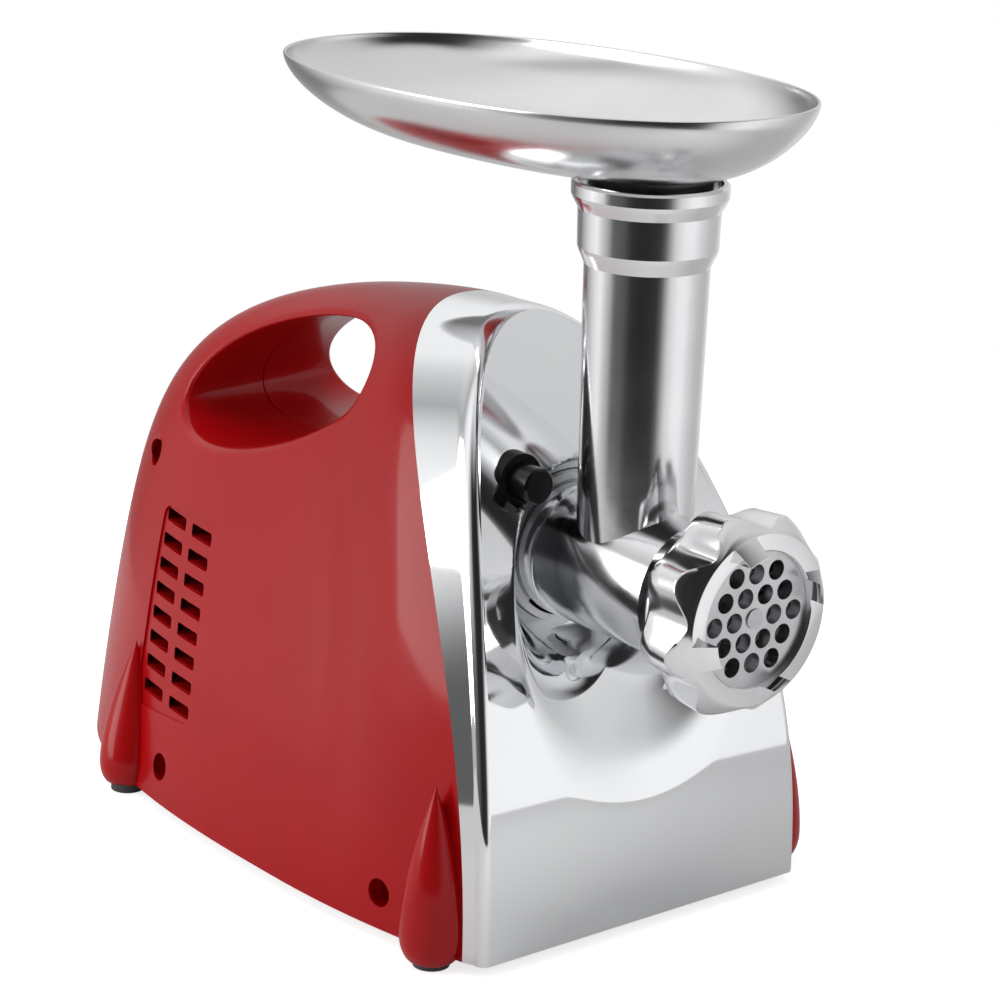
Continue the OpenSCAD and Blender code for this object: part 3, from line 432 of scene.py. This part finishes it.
# height and radius of the hole for the cord's gland
GLAND_AT, GLAND_R = (0, 24), 8.0
# beyond the skin on every side
OUTSIDE = 110.0


def switch_cutter(name, outline, start):
    """Cutter for the switch, turned about its seat until it is square to the leaning side wall."""
    obj = prism(name, rounded_box(*SWITCH_AT, *outline), start, 100)
    seat = row(SWITCH_SEAT, *SWITCH_AT)
    turn = Matrix.Rotation(math.radians(-SWITCH_LEAN), 4, "Y")
    obj.data.transform(Matrix.Translation(seat) @ turn @ Matrix.Translation(-seat))
    return obj


def red_shell(name, sign):
    """One half of the housing. sign is 1 for the half at x < 0."""
    shell = thick_grid(name, shell_grid(0.0, sign), shell_grid(WALL, sign))
    layer = prism("layer", rounded_box(*FIELD), *across(sign, 40.0, OUTSIDE))
    cut(layer, thick_grid("core", shell_grid(FIELD_DEEP, sign), shell_grid(30.0, sign)))
    cut(shell, layer)
    tools = [prism("grip", grip_outline(LIP), *across(sign, OUTSIDE, 4.0))] + vent_cutters(sign)
    for y, z, seat in side_screws(sign):
        tools.append(prism("hole", disc(y, z, BORE_R), *across(sign, OUTSIDE, seat + 8)))
    if sign < 0:
        tools.append(switch_cutter("switch", SWITCH_HOLE, SWITCH_SEAT - 20))
        cut(shell, switch_cutter("seat", SWITCH_RIM, SWITCH_SEAT))
    tools.append(prism("gland", disc(*GLAND_AT, GLAND_R), HOUSE_REAR - 15, HOUSE_REAR + 10, "y"))
    cut(shell, join(tools, "tools"))
    soft_shade(shell, 30)
    parts = [grip_liner("liner", sign), pod("pod", sign, FRONT_POD), pod("pod", sign, REAR_POD)]
    parts += [boss(sign, *screw) for screw in side_screws(sign)] + vent_ledges(sign)
    for p in parts:
        soft_shade(p, 40)
    return join([shell] + parts, name)


# ---------------------------------------------------------------- front panel
NECK_R = 28.1
# section of the flared recess round the neck, a curve through (radius, place along y)
HORN, HORN_STEPS = ((NECK_R, 98.0), (39.0, 95.0), (34.0, 62.0), (78.0, 49.0)), 200
# width of the rounding between the recess and the face, thickness of the panel
HORN_BLEND, FRONT_WALL = 2.2, 2.2
BUTTON, BUTTON_HOLE = (-30.0, AXIS_H + 31.0), 9.5
# points along the arch and along the base, rings over the face, rings over edge and band, share of the edge
ARCH_STEPS, BASE_STEPS, FACE_RINGS, BAND_RINGS, EDGE_SHARE = 150, 60, 64, 22, 0.32


def bezier(p, t):
    s = 1 - t
    return tuple(s ** 3 * a + 3 * t * s * s * b + 3 * t * t * s * c + t ** 3 * d for a, b, c, d in zip(*p))


HORN_TABLE = [bezier(HORN, k) for k in spread(HORN_STEPS)]


def horn_y(r):
    if r >= HORN_TABLE[-1][0]:
        end, before = HORN_TABLE[-1], HORN_TABLE[-6]
        return end[1] + (r - end[0]) * (end[1] - before[1]) / (end[0] - before[0])
    for (r0, y0), (r1, y1) in zip(HORN_TABLE, HORN_TABLE[1:]):
        if r <= r1:
            return mix(y0, y1, (r - r0) / max(r1 - r0, 1e-9)) if r > r0 else y0
    return HORN_TABLE[-1][1]


def face_y(z):
    h = min(max((z - FOOT_GAP) / FACE[1], 0.0), 1.2)
    return FACE[2] + FACE[3] * h ** LEAN_POWER


def soft_max(a, b, k):
    """The greater of a and b, rounded where they cross."""
    h = max(k - abs(a - b), 0.0) / k
    return max(a, b) + h * h * k / 4


def panel_surface(x, z):
    r = math.hypot(x, z - AXIS_H)
    return soft_max(face_y(z), horn_y(r), HORN_BLEND)


def open_hole(bm, cx, cz, r):
    """Cuts a round hole through the front: faces inside go, and the edge left is drawn onto the circle."""
    def far(v):
        return math.hypot(v.co.x / MM - cx, v.co.z / MM - cz)
    inside = [f for f in bm.faces if sum(far(v) for v in f.verts) / len(f.verts) < r]
    bmesh.ops.delete(bm, geom=inside, context="FACES")
    for v in bm.verts:
        if v.is_boundary and far(v) < r + 3:
            d = far(v)
            x, z = cx + (v.co.x / MM - cx) * r / d, cz + (v.co.z / MM - cz) * r / d
            v.co = row(x, panel_surface(x, z), z)


def front_shell(name):
    """Chrome front: face with the flared recess round the neck, rounded edge and side band."""
    arc = [math.pi * k for k in spread(ARCH_STEPS)]
    outline = [arch_point(FACE, p) for p in arc]
    base = [(FACE[0] - 2 * FACE[0] * k, FACE[2], FOOT_GAP) for k in spread(BASE_STEPS)[1:-1]]
    loop = outline + base
    rings = []
    for share in spread(FACE_RINGS):
        k = 1 - (1 - share) ** 1.35
        ring = []
        for x, _, z in loop:
            d = math.hypot(x, z - AXIS_H)
            r = mix(NECK_R, d, k)
            px, pz = x * r / d, AXIS_H + (z - AXIS_H) * r / d
            ring.append((px, panel_surface(px, pz), pz))
        rings.append(ring)
    verts = [row(*p) for ring in rings for p in ring]
    faces = grid_faces(len(rings), len(loop), closed=True)
    # rounded edge and band: along the arch only
    inner_y = [p[1] for p in rings[-1]]
    edge = [arch_point(EDGE, p) for p in arc]
    seam = [arch_point(SEAM, p) for p in arc]
    previous = [FACE_RINGS * len(loop) + j for j in range(len(arc))]
    for k in spread(BAND_RINGS)[1:]:
        start = len(verts)
        for (x0, _, z0), y0, (x1, y1, z1), (x2, y2, z2) in zip(outline, inner_y, edge, seam):
            if k < EDGE_SHARE:
                q = k / EDGE_SHARE * math.pi / 2
                x, y, z = mix(x0, x1, math.sin(q)), mix(y0, y1, 1 - math.cos(q)), mix(z0, z1, math.sin(q))
            else:
                q = (k - EDGE_SHARE) / (1 - EDGE_SHARE)
                x, y, z = mix(x1, x2, q), mix(y1, y2, q), mix(z1, z2, q)
            verts.append(row(x, y, z))
        current = [start + j for j in range(len(arc))]
        for j in range(len(arc) - 1):
            faces.append((previous[j], previous[j + 1], current[j + 1], current[j]))
        previous = current
    obj = add_mesh(name, verts, faces)
    bm = bmesh.new()
    bm.from_mesh(obj.data)
    bmesh.ops.recalc_face_normals(bm, faces=bm.faces)
    if sum(f.normal.y for f in bm.faces) > 0:
        bmesh.ops.reverse_faces(bm, faces=bm.faces)
    open_hole(bm, *BUTTON, BUTTON_HOLE)
    bm.to_mesh(obj.data)
    bm.free()
    solid = obj.modifiers.new("wall", "SOLIDIFY")
    solid.thickness = FRONT_WALL * MM
    solid.offset = -1
    apply_modifiers(obj)
    soft_shade(obj, 40)
    return obj


# ---------------------------------------------------------------- ring nut
# radii of the mouth and of the thread, and places of the face, the lugs' ends, the inner step and the rear
NUT_BORE, NUT_THREAD, NUT_FACE, NUT_NOSE, NUT_STEP, NUT_REAR = 24.0, 30.06, -2.4, -8.6, -0.1, 19.0
# outer radius of the flat face, number of lobes, angle of the first, and half a lug's width in degrees
NUT_RING_R, NUT_LOBES, NUT_PHASE, LUG_HALF = 30.0, 8, -16.5, 9.5
# radii of crests and valleys, what the crests lose to the rear, and the slope of the cone behind the face
NUT_CREST, NUT_VALLEY, NUT_TAPER, NUT_CONE = 36.6, 31.3, 1.6, 1.2
# shares of the cone and of the lobed body at which a ring stands
CONE_SHARES, LOBE_SHARES = (0.33, 0.66, 0.96), (0.02, 0.05, 0.3, 0.6, 0.93)
LUG_STEPS = 16


def nut_point(r, angle, y):
    """Angle in degrees from the left (x < 0), rising over the top."""
    a = math.radians(angle)
    return row(-r * math.cos(a), y, AXIS_H + r * math.sin(a))


def lobe_r(angle, y):
    wave = math.cos(math.radians(NUT_LOBES * (angle - NUT_PHASE)))
    crest = NUT_CREST - NUT_TAPER * (max(y, 0.0) / NUT_REAR)
    return mix(NUT_VALLEY, crest, (wave + 1) / 2)


def nut_cone_edge(angle):
    """Place along the axis where the cone behind the face meets the lobes."""
    y = 2.0
    for _ in range(12):
        y = NUT_FACE + (lobe_r(angle, y) - NUT_RING_R) * NUT_CONE
    return y


def nut_shape(name):
    """Ring nut: lobed body, face cut back to a flat ring, and four lugs that carry the cone on."""
    steps = 480
    angles = [360 * j / steps for j in range(steps)]
    edges = [nut_cone_edge(a) for a in angles]
    rings = [[nut_point(r, a, y) for a in angles] for r, y in (
        (NUT_BORE, NUT_STEP), (NUT_BORE, NUT_FACE + 0.3), (NUT_BORE + 0.3, NUT_FACE),
        (NUT_RING_R - 0.2, NUT_FACE), (NUT_RING_R + 0.1, NUT_FACE + 0.12))]
    for k in CONE_SHARES:
        rings.append([nut_point(mix(NUT_RING_R, lobe_r(a, e), k), a, mix(NUT_FACE, e, k))
                      for a, e in zip(angles, edges)])
    for k in LOBE_SHARES:
        places = [mix(e, NUT_REAR, k) for e in edges]
        rings.append([nut_point(lobe_r(a, y), a, y) for a, y in zip(angles, places)])
    for less, y in ((0.3, NUT_REAR - 0.2), (0.9, NUT_REAR)):
        rings.append([nut_point(lobe_r(a, NUT_REAR) - less, a, y) for a in angles])
    for y in (NUT_REAR, NUT_STEP):
        rings.append([nut_point(NUT_THREAD, a, y) for a in angles])
    parts = [ring_solid(name, rings)]
    section = ((NUT_BORE, NUT_FACE + 0.2), (NUT_RING_R + 0.3, NUT_FACE + 0.2), (NUT_RING_R, NUT_FACE - 0.1),
               (NUT_BORE + 0.5, NUT_NOSE + 0.3), (NUT_BORE + 0.15, NUT_NOSE + 0.2),
               (NUT_BORE, NUT_NOSE + 0.45))
    for quarter in range(4):
        mid = NUT_PHASE + 90 * quarter
        parts.append(ring_solid("lug", [[nut_point(r, mid + LUG_HALF * (2 * k - 1), y) for r, y in section]
                                        for k in spread(LUG_STEPS)], capped=True))
    for p in parts:
        soft_shade(p, 32)
    return join(parts, name)


# ---------------------------------------------------------------- tray
# middle of the rim along y, its height over the axis, depth of the bowl, and the tray's fall to the rear
TRAY_MID, TRAY_RIM, TRAY_DEEP, TRAY_SLOPE = 121.0, 164.5, 26.0, 0.023
# half-sizes of rim and floor, middle of the floor, the power of their outlines and of the bowl's section
TRAY_RIM_SIZE, TRAY_FLOOR_SIZE, TRAY_FLOOR_MID = (116.0, 65.5), (72.0, 30.0), 112.0
TRAY_OVAL, TRAY_BOWL = 2.25, 1.6
# thickness, and the spout's middle, radius, wall, length below the tube's top and number of steps round
TRAY_T, TUBE_Y, SPOUT_R, SPOUT_T, SPOUT_LONG, ROUND = 1.2, 61.5, 21.2, 1.2, 22, 96
TUBE_TOP = AXIS_H + 137.7
TRAY_LOW = AXIS_H + TRAY_RIM - TRAY_DEEP
# shares of the floor at which it has a ring
FLOOR_SHARES = (0.02, 0.3, 0.6, 0.85)


def tray_point(k, t, angle, lift=0.0):
    """Point of the bowl at share k of its height, inset by t."""
    g = max(1 - (1 - k) ** TRAY_BOWL, 0.0) ** (1 / TRAY_BOWL)
    a = mix(TRAY_FLOOR_SIZE[0], TRAY_RIM_SIZE[0], g) - t
    b = mix(TRAY_FLOOR_SIZE[1], TRAY_RIM_SIZE[1], g) - t
    c, s = math.cos(angle), math.sin(angle)
    y = mix(TRAY_FLOOR_MID, TRAY_MID, g) + a * math.copysign(abs(c) ** (2 / TRAY_OVAL), c)
    x = -b * math.copysign(abs(s) ** (2 / TRAY_OVAL), s)
    z = AXIS_H + TRAY_RIM - TRAY_DEEP * (1 - k) + lift - TRAY_SLOPE * (y - TRAY_MID)
    return x, y, z


def tray_shell(name):
    steps, levels = 192, 44
    angles = [2 * math.pi * (j + 0.5) / steps for j in range(steps)]
    ks = [k ** 1.7 for k in spread(levels)]
    corner = [tray_point(0, 0, a) for a in angles]
    floor = [[(mix(0.0, x, s), mix(TRAY_FLOOR_MID, y, s)) for x, y, _ in corner] for s in FLOOR_SHARES]
    rings = [[(x, y, TRAY_LOW - TRAY_SLOPE * (y - TRAY_MID)) for x, y in ring] for ring in floor]
    for k in ks:
        rings.append([tray_point(k, 0, a) for a in angles])
    # rolled rim
    for i in range(1, 6):
        q = math.pi * i / 6
        t = TRAY_T / 2 * (1 - math.cos(q))
        rim = [tray_point(1, t, a) for a in angles]
        rings.append([(x, y, z + TRAY_T / 2 * math.sin(q)) for x, y, z in rim])
    for k in reversed(ks):
        rings.append([tray_point(k, TRAY_T, a, TRAY_T * (1 - k)) for a in angles])
    top = TRAY_LOW + TRAY_T
    for ring in reversed(floor):
        rings.append([(x * 0.96, mix(TRAY_FLOOR_MID, y, 0.98), top - TRAY_SLOPE * (y - TRAY_MID))
                      for x, y in ring])
    obj = ring_solid(name, [[row(*p) for p in ring] for ring in rings], capped=True)
    ends = (TUBE_TOP - 30, TUBE_TOP + 30)
    hole = [[row(x, y, z) for x, y in disc(0, TUBE_Y, SPOUT_R, ROUND)] for z in ends]
    cut(obj, ring_solid("cutter", hole, capped=True))
    soft_shade(obj, 40)
    # the spout's section: radius, height, and the tray's slope where it meets the bowl
    low = TUBE_TOP - SPOUT_LONG
    section = ((SPOUT_R, low, 0.0), (SPOUT_R, TUBE_TOP + 1.2, 0.0),
               (SPOUT_R + 1.2, TUBE_TOP + 3.4, TRAY_SLOPE), (SPOUT_R + 0.6, TUBE_TOP + 3.9, TRAY_SLOPE),
               (SPOUT_R - SPOUT_T, TUBE_TOP + 1.4, 0.0), (SPOUT_R - SPOUT_T, low, 0.0))
    spout = ring_solid("spout", [[row(r * math.cos(a), TUBE_Y + r * math.sin(a), z - slope * r * math.sin(a))
                                  for a in full_turn(ROUND)] for r, z, slope in section])
    soft_shade(spout, 40)
    return join([obj, spout], name)


# ---------------------------------------------------------------- materials
def new_material(name, color, rough, metallic=0.0, coat=0.0, coat_rough=0.03):
    mat = bpy.data.materials.new(name)
    mat.use_nodes = True
    bsdf = mat.node_tree.nodes["Principled BSDF"]
    bsdf.inputs["Base Color"].default_value = (*color, 1)
    bsdf.inputs["Roughness"].default_value = rough
    bsdf.inputs["Metallic"].default_value = metallic
    bsdf.inputs["Coat Weight"].default_value = coat
    bsdf.inputs["Coat Roughness"].default_value = coat_rough
    return mat, bsdf


def object_coords(tree, scale):
    coords = tree.nodes.new("ShaderNodeTexCoord")
    mapping = tree.nodes.new("ShaderNodeMapping")
    mapping.inputs["Scale"].default_value = scale
    tree.links.new(coords.outputs["Object"], mapping.inputs["Vector"])
    return mapping.outputs["Vector"]


def noise(tree, scale, detail, vector):
    node = tree.nodes.new("ShaderNodeTexNoise")
    node.inputs["Scale"].default_value = scale
    node.inputs["Detail"].default_value = detail
    tree.links.new(vector, node.inputs["Vector"])
    return node.outputs["Fac"]


def remap(tree, value, low, high, start=0.3, end=0.7):
    node = tree.nodes.new("ShaderNodeMapRange")
    node.inputs["From Min"].default_value = start
    node.inputs["From Max"].default_value = end
    node.inputs["To Min"].default_value = low
    node.inputs["To Max"].default_value = high
    tree.links.new(value, node.inputs["Value"])
    return node.outputs["Result"]


# height of the bumps, in metres
BUMP_HIGH = 0.0002


def vary(mat, bsdf, rough, color, other, scale=60.0, stretch=(1, 1, 1), bump=0.0, bump_scale=900.0):
    """Noise-driven roughness, colour and bump."""
    tree = mat.node_tree
    vector = object_coords(tree, stretch)
    fac = noise(tree, scale, 4.0, vector)
    tree.links.new(remap(tree, fac, *rough), bsdf.inputs["Roughness"])
    blend = tree.nodes.new("ShaderNodeMix")
    blend.data_type = "RGBA"
    blend.inputs["A"].default_value = (*color, 1)
    blend.inputs["B"].default_value = (*other, 1)
    tree.links.new(remap(tree, fac, 0.0, 1.0), blend.inputs["Factor"])
    tree.links.new(blend.outputs["Result"], bsdf.inputs["Base Color"])
    if bump:
        fine = noise(tree, bump_scale, 3.0, vector)
        node = tree.nodes.new("ShaderNodeBump")
        node.inputs["Strength"].default_value = bump
        node.inputs["Distance"].default_value = BUMP_HIGH
        tree.links.new(fine, node.inputs["Height"])
        tree.links.new(node.outputs["Normal"], bsdf.inputs["Normal"])


def make_materials():
    mats = {}

    def make(name, color, rough, metallic=0.0, coat=0.0, coat_rough=0.03, **more):
        mat, bsdf = new_material(name, color, sum(rough) / 2, metallic, coat, coat_rough)
        vary(mat, bsdf, rough, color, **more)
        mats[name] = mat
        return bsdf

    red = make("red_shell", (0.46, 0.002, 0.004), (0.3, 0.36), coat=0.35, coat_rough=0.1,
               other=(0.42, 0.0015, 0.0035), scale=25, bump=0.02, bump_scale=400)
    red.inputs["Specular IOR Level"].default_value = 0.12
    make("chrome_trim", (0.9, 0.91, 0.92), (0.03, 0.06), metallic=1.0, other=(0.86, 0.87, 0.89), scale=14)
    plastic = make("black_plastic", (0.006, 0.006, 0.0065), (0.4, 0.5), other=(0.009, 0.009, 0.01), bump=0.1,
                   bump_scale=1500)
    plastic.inputs["Specular IOR Level"].default_value = 0.3
    gloss = make("black_gloss", (0.004, 0.004, 0.0045), (0.16, 0.24), other=(0.006, 0.006, 0.0065), bump=0.03)
    gloss.inputs["Specular IOR Level"].default_value = 0.4
    make("foot_rubber", (0.05, 0.05, 0.055), (0.6, 0.8), other=(0.075, 0.075, 0.08), bump=0.4,
         bump_scale=1200)
    make("screw_steel", (0.5, 0.51, 0.53), (0.25, 0.4), metallic=1.0, other=(0.42, 0.43, 0.45), scale=300)
    make("cast_alloy", (0.62, 0.63, 0.65), (0.34, 0.48), metallic=1.0, other=(0.54, 0.55, 0.57), scale=120,
         bump=0.35)
    make("polished_alloy", (0.84, 0.845, 0.855), (0.1, 0.17), metallic=1.0, other=(0.79, 0.795, 0.81),
         scale=40, bump=0.03, bump_scale=500)
    make("bronze", (0.55, 0.36, 0.15), (0.3, 0.42), metallic=1.0, other=(0.46, 0.3, 0.13), scale=200)
    make("gear_steel", (0.45, 0.46, 0.48), (0.24, 0.38), metallic=1.0, other=(0.38, 0.39, 0.41), scale=150)
    make("gear_nylon", (0.75, 0.72, 0.6), (0.38, 0.5), other=(0.69, 0.66, 0.54), scale=60, bump=0.1)
    make("lamination", (0.28, 0.29, 0.31), (0.4, 0.55), metallic=0.9, other=(0.2, 0.21, 0.22), scale=40,
         stretch=(1, 60, 1), bump=0.6, bump_scale=30)
    make("copper", (0.6, 0.26, 0.1), (0.3, 0.4), metallic=0.9, coat=0.3, other=(0.45, 0.18, 0.07), scale=90,
         bump=0.5, bump_scale=260)
    make("carbon", (0.03, 0.03, 0.032), (0.6, 0.75), other=(0.045, 0.045, 0.05), bump=0.5)
    make("blade_steel", (0.66, 0.665, 0.68), (0.26, 0.38), metallic=1.0, other=(0.6, 0.605, 0.62), scale=90,
         bump=0.12, bump_scale=900)
    make("tray_steel", (0.8, 0.805, 0.815), (0.17, 0.23), metallic=1.0, other=(0.76, 0.765, 0.775), scale=30,
         bump=0.02, bump_scale=300)
    return mats


def paint(obj, mat):
    if not obj.material_slots:
        obj.data.materials.append(mat)
    for s in obj.material_slots:
        s.material = mat


# ---------------------------------------------------------------- build
materials = make_materials()
slot_of = {s["node"]: s["material_slot"] for s in frame["record"]["subparts"]}
for node_name, node in nodes.items():
    paint(node, materials[slot_of[node_name]])

right = red_shell("red_shell_right", 1)
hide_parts("housing_right_shell")
left = red_shell("red_shell_left", -1)
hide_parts("housing_left_shell")
front = front_shell("chrome_front")
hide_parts("front_panel")
bowl = tray_shell("tray_bowl")
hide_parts("tray")
nut = nut_shape("nut_body")
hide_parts("ring_nut")
for piece, body, slot in ((right, "housing", "red_shell"), (left, "housing", "red_shell"),
                          (front, "housing", "chrome_trim"), (bowl, "tray", "tray_steel"),
                          (nut, "nut", "polished_alloy")):
    paint(piece, materials[slot])
    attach(piece, body)


# ---------------------------------------------------------------- stage, light, camera
scene = bpy.context.scene
# strength of the even light from all round
PLAIN = 0.34
# the floor's radius, how far it lies under the feet, its grey and its glow
FLOOR_R, FLOOR_GAP, FLOOR_COLOR, FLOOR_GLOW = 0.5, 0.0003, 0.8, 0.75
# the floor's bright patch before the front, seen in metal: its place, reach and share
PATCH, PATCH_REACH, PATCH_SHARE = (-0.1, -0.38, 0.0), 0.34, 0.35
# brightness of the studio that gloss mirrors, by compass direction, near the horizon and high up
STUDIO_LOW = ((0.0, 0.55), (0.03, 0.6), (0.08, 0.8), (0.14, 0.6), (0.2, 0.25), (0.245, 0.2), (0.275, 0.45),
              (0.335, 0.85), (0.38, 1.0), (0.415, 0.6), (0.445, 0.4), (0.47, 0.13), (0.52, 0.1), (0.56, 0.03),
              (0.62, 0.02), (0.69, 0.035), (0.715, 0.12), (0.735, 0.4), (0.76, 0.75), (0.81, 1.0),
              (0.855, 1.0), (0.89, 0.8), (0.95, 0.6))
STUDIO_HIGH = ((0.0, 0.72), (0.1, 0.78), (0.2, 0.95), (0.31, 0.95), (0.345, 0.65), (0.375, 0.45), (0.4, 0.85),
               (0.42, 1.0), (0.46, 1.0), (0.5, 0.5), (0.55, 0.04), (0.62, 0.02), (0.73, 0.02), (0.78, 0.08),
               (0.81, 0.3), (0.86, 0.6), (0.92, 0.68))
STUDIO_ZENITH = 0.78
# rise of a direction at which the low part passes into the high one, and the high one into the zenith
LOW_TO_HIGH, HIGH_TO_ZENITH = (0.1, 0.5), (0.78, 0.97)


def math_node(tree, operation, *values):
    node = tree.nodes.new("ShaderNodeMath")
    node.operation = operation
    for socket, value in zip(node.inputs, values):
        if isinstance(value, float):
            socket.default_value = value
        else:
            tree.links.new(value, socket)
    return node.outputs[0]


def mix_shaders(tree, share, first, second):
    node = tree.nodes.new("ShaderNodeMixShader")
    for socket, value in zip(node.inputs, (share, first, second)):
        tree.links.new(value, socket)
    return node.outputs[0]


def background(tree, color):
    node = tree.nodes.new("ShaderNodeBackground")
    if isinstance(color, float):
        node.inputs["Color"].default_value = (color, color, color, 1)
    else:
        tree.links.new(color, node.inputs["Color"])
    return node.outputs[0]


def seen_directly(tree, path):
    """1 for rays from the camera, also through glass."""
    return math_node(tree, "MAXIMUM", path.outputs["Is Camera Ray"], path.outputs["Is Transmission Ray"])


def white_floor():
    rim = [(x, y, -FLOOR_GAP) for x, y in disc(0, 0, FLOOR_R, 64)]
    floor = add_mesh("floor", rim, [tuple(range(len(rim)))], smooth=False)
    mat = bpy.data.materials.new("floor_white")
    mat.use_nodes = True
    tree = mat.node_tree
    tree.nodes.clear()
    out = tree.nodes.new("ShaderNodeOutputMaterial")
    diffuse = tree.nodes.new("ShaderNodeBsdfDiffuse")
    diffuse.inputs["Color"].default_value = (FLOOR_COLOR, FLOOR_COLOR, FLOOR_COLOR, 1)
    glow = tree.nodes.new("ShaderNodeEmission")
    glow.inputs["Strength"].default_value = FLOOR_GLOW
    add = tree.nodes.new("ShaderNodeAddShader")
    tree.links.new(diffuse.outputs[0], add.inputs[0])
    tree.links.new(glow.outputs[0], add.inputs[1])
    path = tree.nodes.new("ShaderNodeLightPath")
    coords = tree.nodes.new("ShaderNodeTexCoord")
    away = tree.nodes.new("ShaderNodeVectorMath")
    away.operation = "DISTANCE"
    away.inputs[1].default_value = PATCH
    tree.links.new(coords.outputs["Object"], away.inputs[0])
    share = remap(tree, away.outputs["Value"], PATCH_SHARE, 0.0, 0.0, PATCH_REACH)
    in_metal = math_node(tree, "MULTIPLY", path.outputs["Is Glossy Ray"], share)
    shown = math_node(tree, "MAXIMUM", seen_directly(tree, path), in_metal)
    surface = mix_shaders(tree, shown, diffuse.outputs[0], add.outputs[0])
    tree.links.new(surface, out.inputs["Surface"])
    paint(floor, mat)


def studio_ramp(tree, turn, stops):
    """Grey by compass direction, running on from the last stop to the first."""
    ramp = tree.nodes.new("ShaderNodeValToRGB")
    elements = ramp.color_ramp.elements
    while len(elements) > 1:
        elements.remove(elements[-1])
    for k, (place, value) in enumerate(stops + ((1.0, stops[0][1]),)):
        stop = elements[0] if k == 0 else elements.new(place)
        stop.position = place
        stop.color = (value, value, value, 1)
    tree.links.new(turn, ramp.inputs["Fac"])
    return ramp.outputs["Color"]


def rise(tree, height, low, high):
    """Share that grows smoothly from 0 to 1 as the direction rises from low to high."""
    node = tree.nodes.new("ShaderNodeMapRange")
    node.interpolation_type = "SMOOTHSTEP"
    node.inputs["From Min"].default_value = low
    node.inputs["From Max"].default_value = high
    tree.links.new(height, node.inputs["Value"])
    return node.outputs["Result"]


def mix_colors(tree, share, first, second):
    node = tree.nodes.new("ShaderNodeMix")
    node.data_type = "RGBA"
    tree.links.new(share, node.inputs["Factor"])
    tree.links.new(first, node.inputs["A"])
    if isinstance(second, float):
        node.inputs["B"].default_value = (second, second, second, 1)
    else:
        tree.links.new(second, node.inputs["B"])
    return node.outputs["Result"]


def studio_world():
    """White to the camera, a studio to metal and gloss, and plain even light to everything else."""
    world = bpy.data.worlds.new("studio")
    scene.world = world
    world.use_nodes = True
    tree = world.node_tree
    tree.nodes.clear()
    out = tree.nodes.new("ShaderNodeOutputWorld")
    coords = tree.nodes.new("ShaderNodeTexCoord")
    split = tree.nodes.new("ShaderNodeSeparateXYZ")
    tree.links.new(coords.outputs["Generated"], split.inputs[0])
    angle = math_node(tree, "ARCTAN2", split.outputs["Y"], split.outputs["X"])
    turn = math_node(tree, "WRAP", math_node(tree, "DIVIDE", angle, 2 * math.pi), 1.0, 0.0)
    height = split.outputs["Z"]
    walls = mix_colors(tree, rise(tree, height, *LOW_TO_HIGH), studio_ramp(tree, turn, STUDIO_LOW),
                       studio_ramp(tree, turn, STUDIO_HIGH))
    studio = mix_colors(tree, rise(tree, height, *HIGH_TO_ZENITH), walls, STUDIO_ZENITH)
    path = tree.nodes.new("ShaderNodeLightPath")
    light = mix_shaders(tree, path.outputs["Is Glossy Ray"], background(tree, PLAIN),
                        background(tree, studio))
    surface = mix_shaders(tree, seen_directly(tree, path), light, background(tree, 1.0))
    tree.links.new(surface, out.inputs["Surface"])


def area_light(name, place, aim, size, watts, reflected=False):
    data = bpy.data.lights.new(name, "AREA")
    data.shape = "RECTANGLE"
    data.size, data.size_y = size
    data.energy = watts
    obj = bpy.data.objects.new(name, data)
    scene.collection.objects.link(obj)
    obj.visible_glossy = reflected
    obj.location = place
    obj.rotation_euler = (Vector(aim) - Vector(place)).to_track_quat("-Z", "Y").to_euler()


# the camera's place in the working frame, the direction from the object back to it, and its roll
CAMERA_AT, CAMERA_BACK, CAMERA_ROLL = (-710.46, -723.76, 344.37 + AXIS_H), (-0.6101, -0.7375, 0.2899), 1.98
LENS, SENSOR = 115.2, 36.0


def set_camera():
    data = bpy.data.cameras.new("camera")
    data.sensor_width = SENSOR
    data.lens = LENS
    data.clip_end = 20
    cam = bpy.data.objects.new("camera", data)
    scene.collection.objects.link(cam)
    back = Vector(CAMERA_BACK).normalized()
    side = Vector((0, 0, 1)).cross(back).normalized()
    up = back.cross(side)
    roll = math.radians(CAMERA_ROLL)
    right_axis = math.cos(roll) * side + math.sin(roll) * up
    up_axis = -math.sin(roll) * side + math.cos(roll) * up
    place = Matrix((right_axis, up_axis, back)).transposed().to_4x4()
    place.translation = row(*CAMERA_AT)
    cam.matrix_world = place
    scene.camera = cam


white_floor()
studio_world()
area_light("left_box", (-1.305, 0.738, 0.5), (0, 0, 0.25), (0.85, 1.0), 11, reflected=True)
area_light("front_box", (0.9, -1.5, 0.8), (0, 0, 0.15), (0.9, 1.2), 4)
area_light("top_box", (0.0, 0.1, 1.6), (0, 0, 0.1), (1.2, 1.2), 8)
set_camera()
scene.view_settings.view_transform = "Standard"
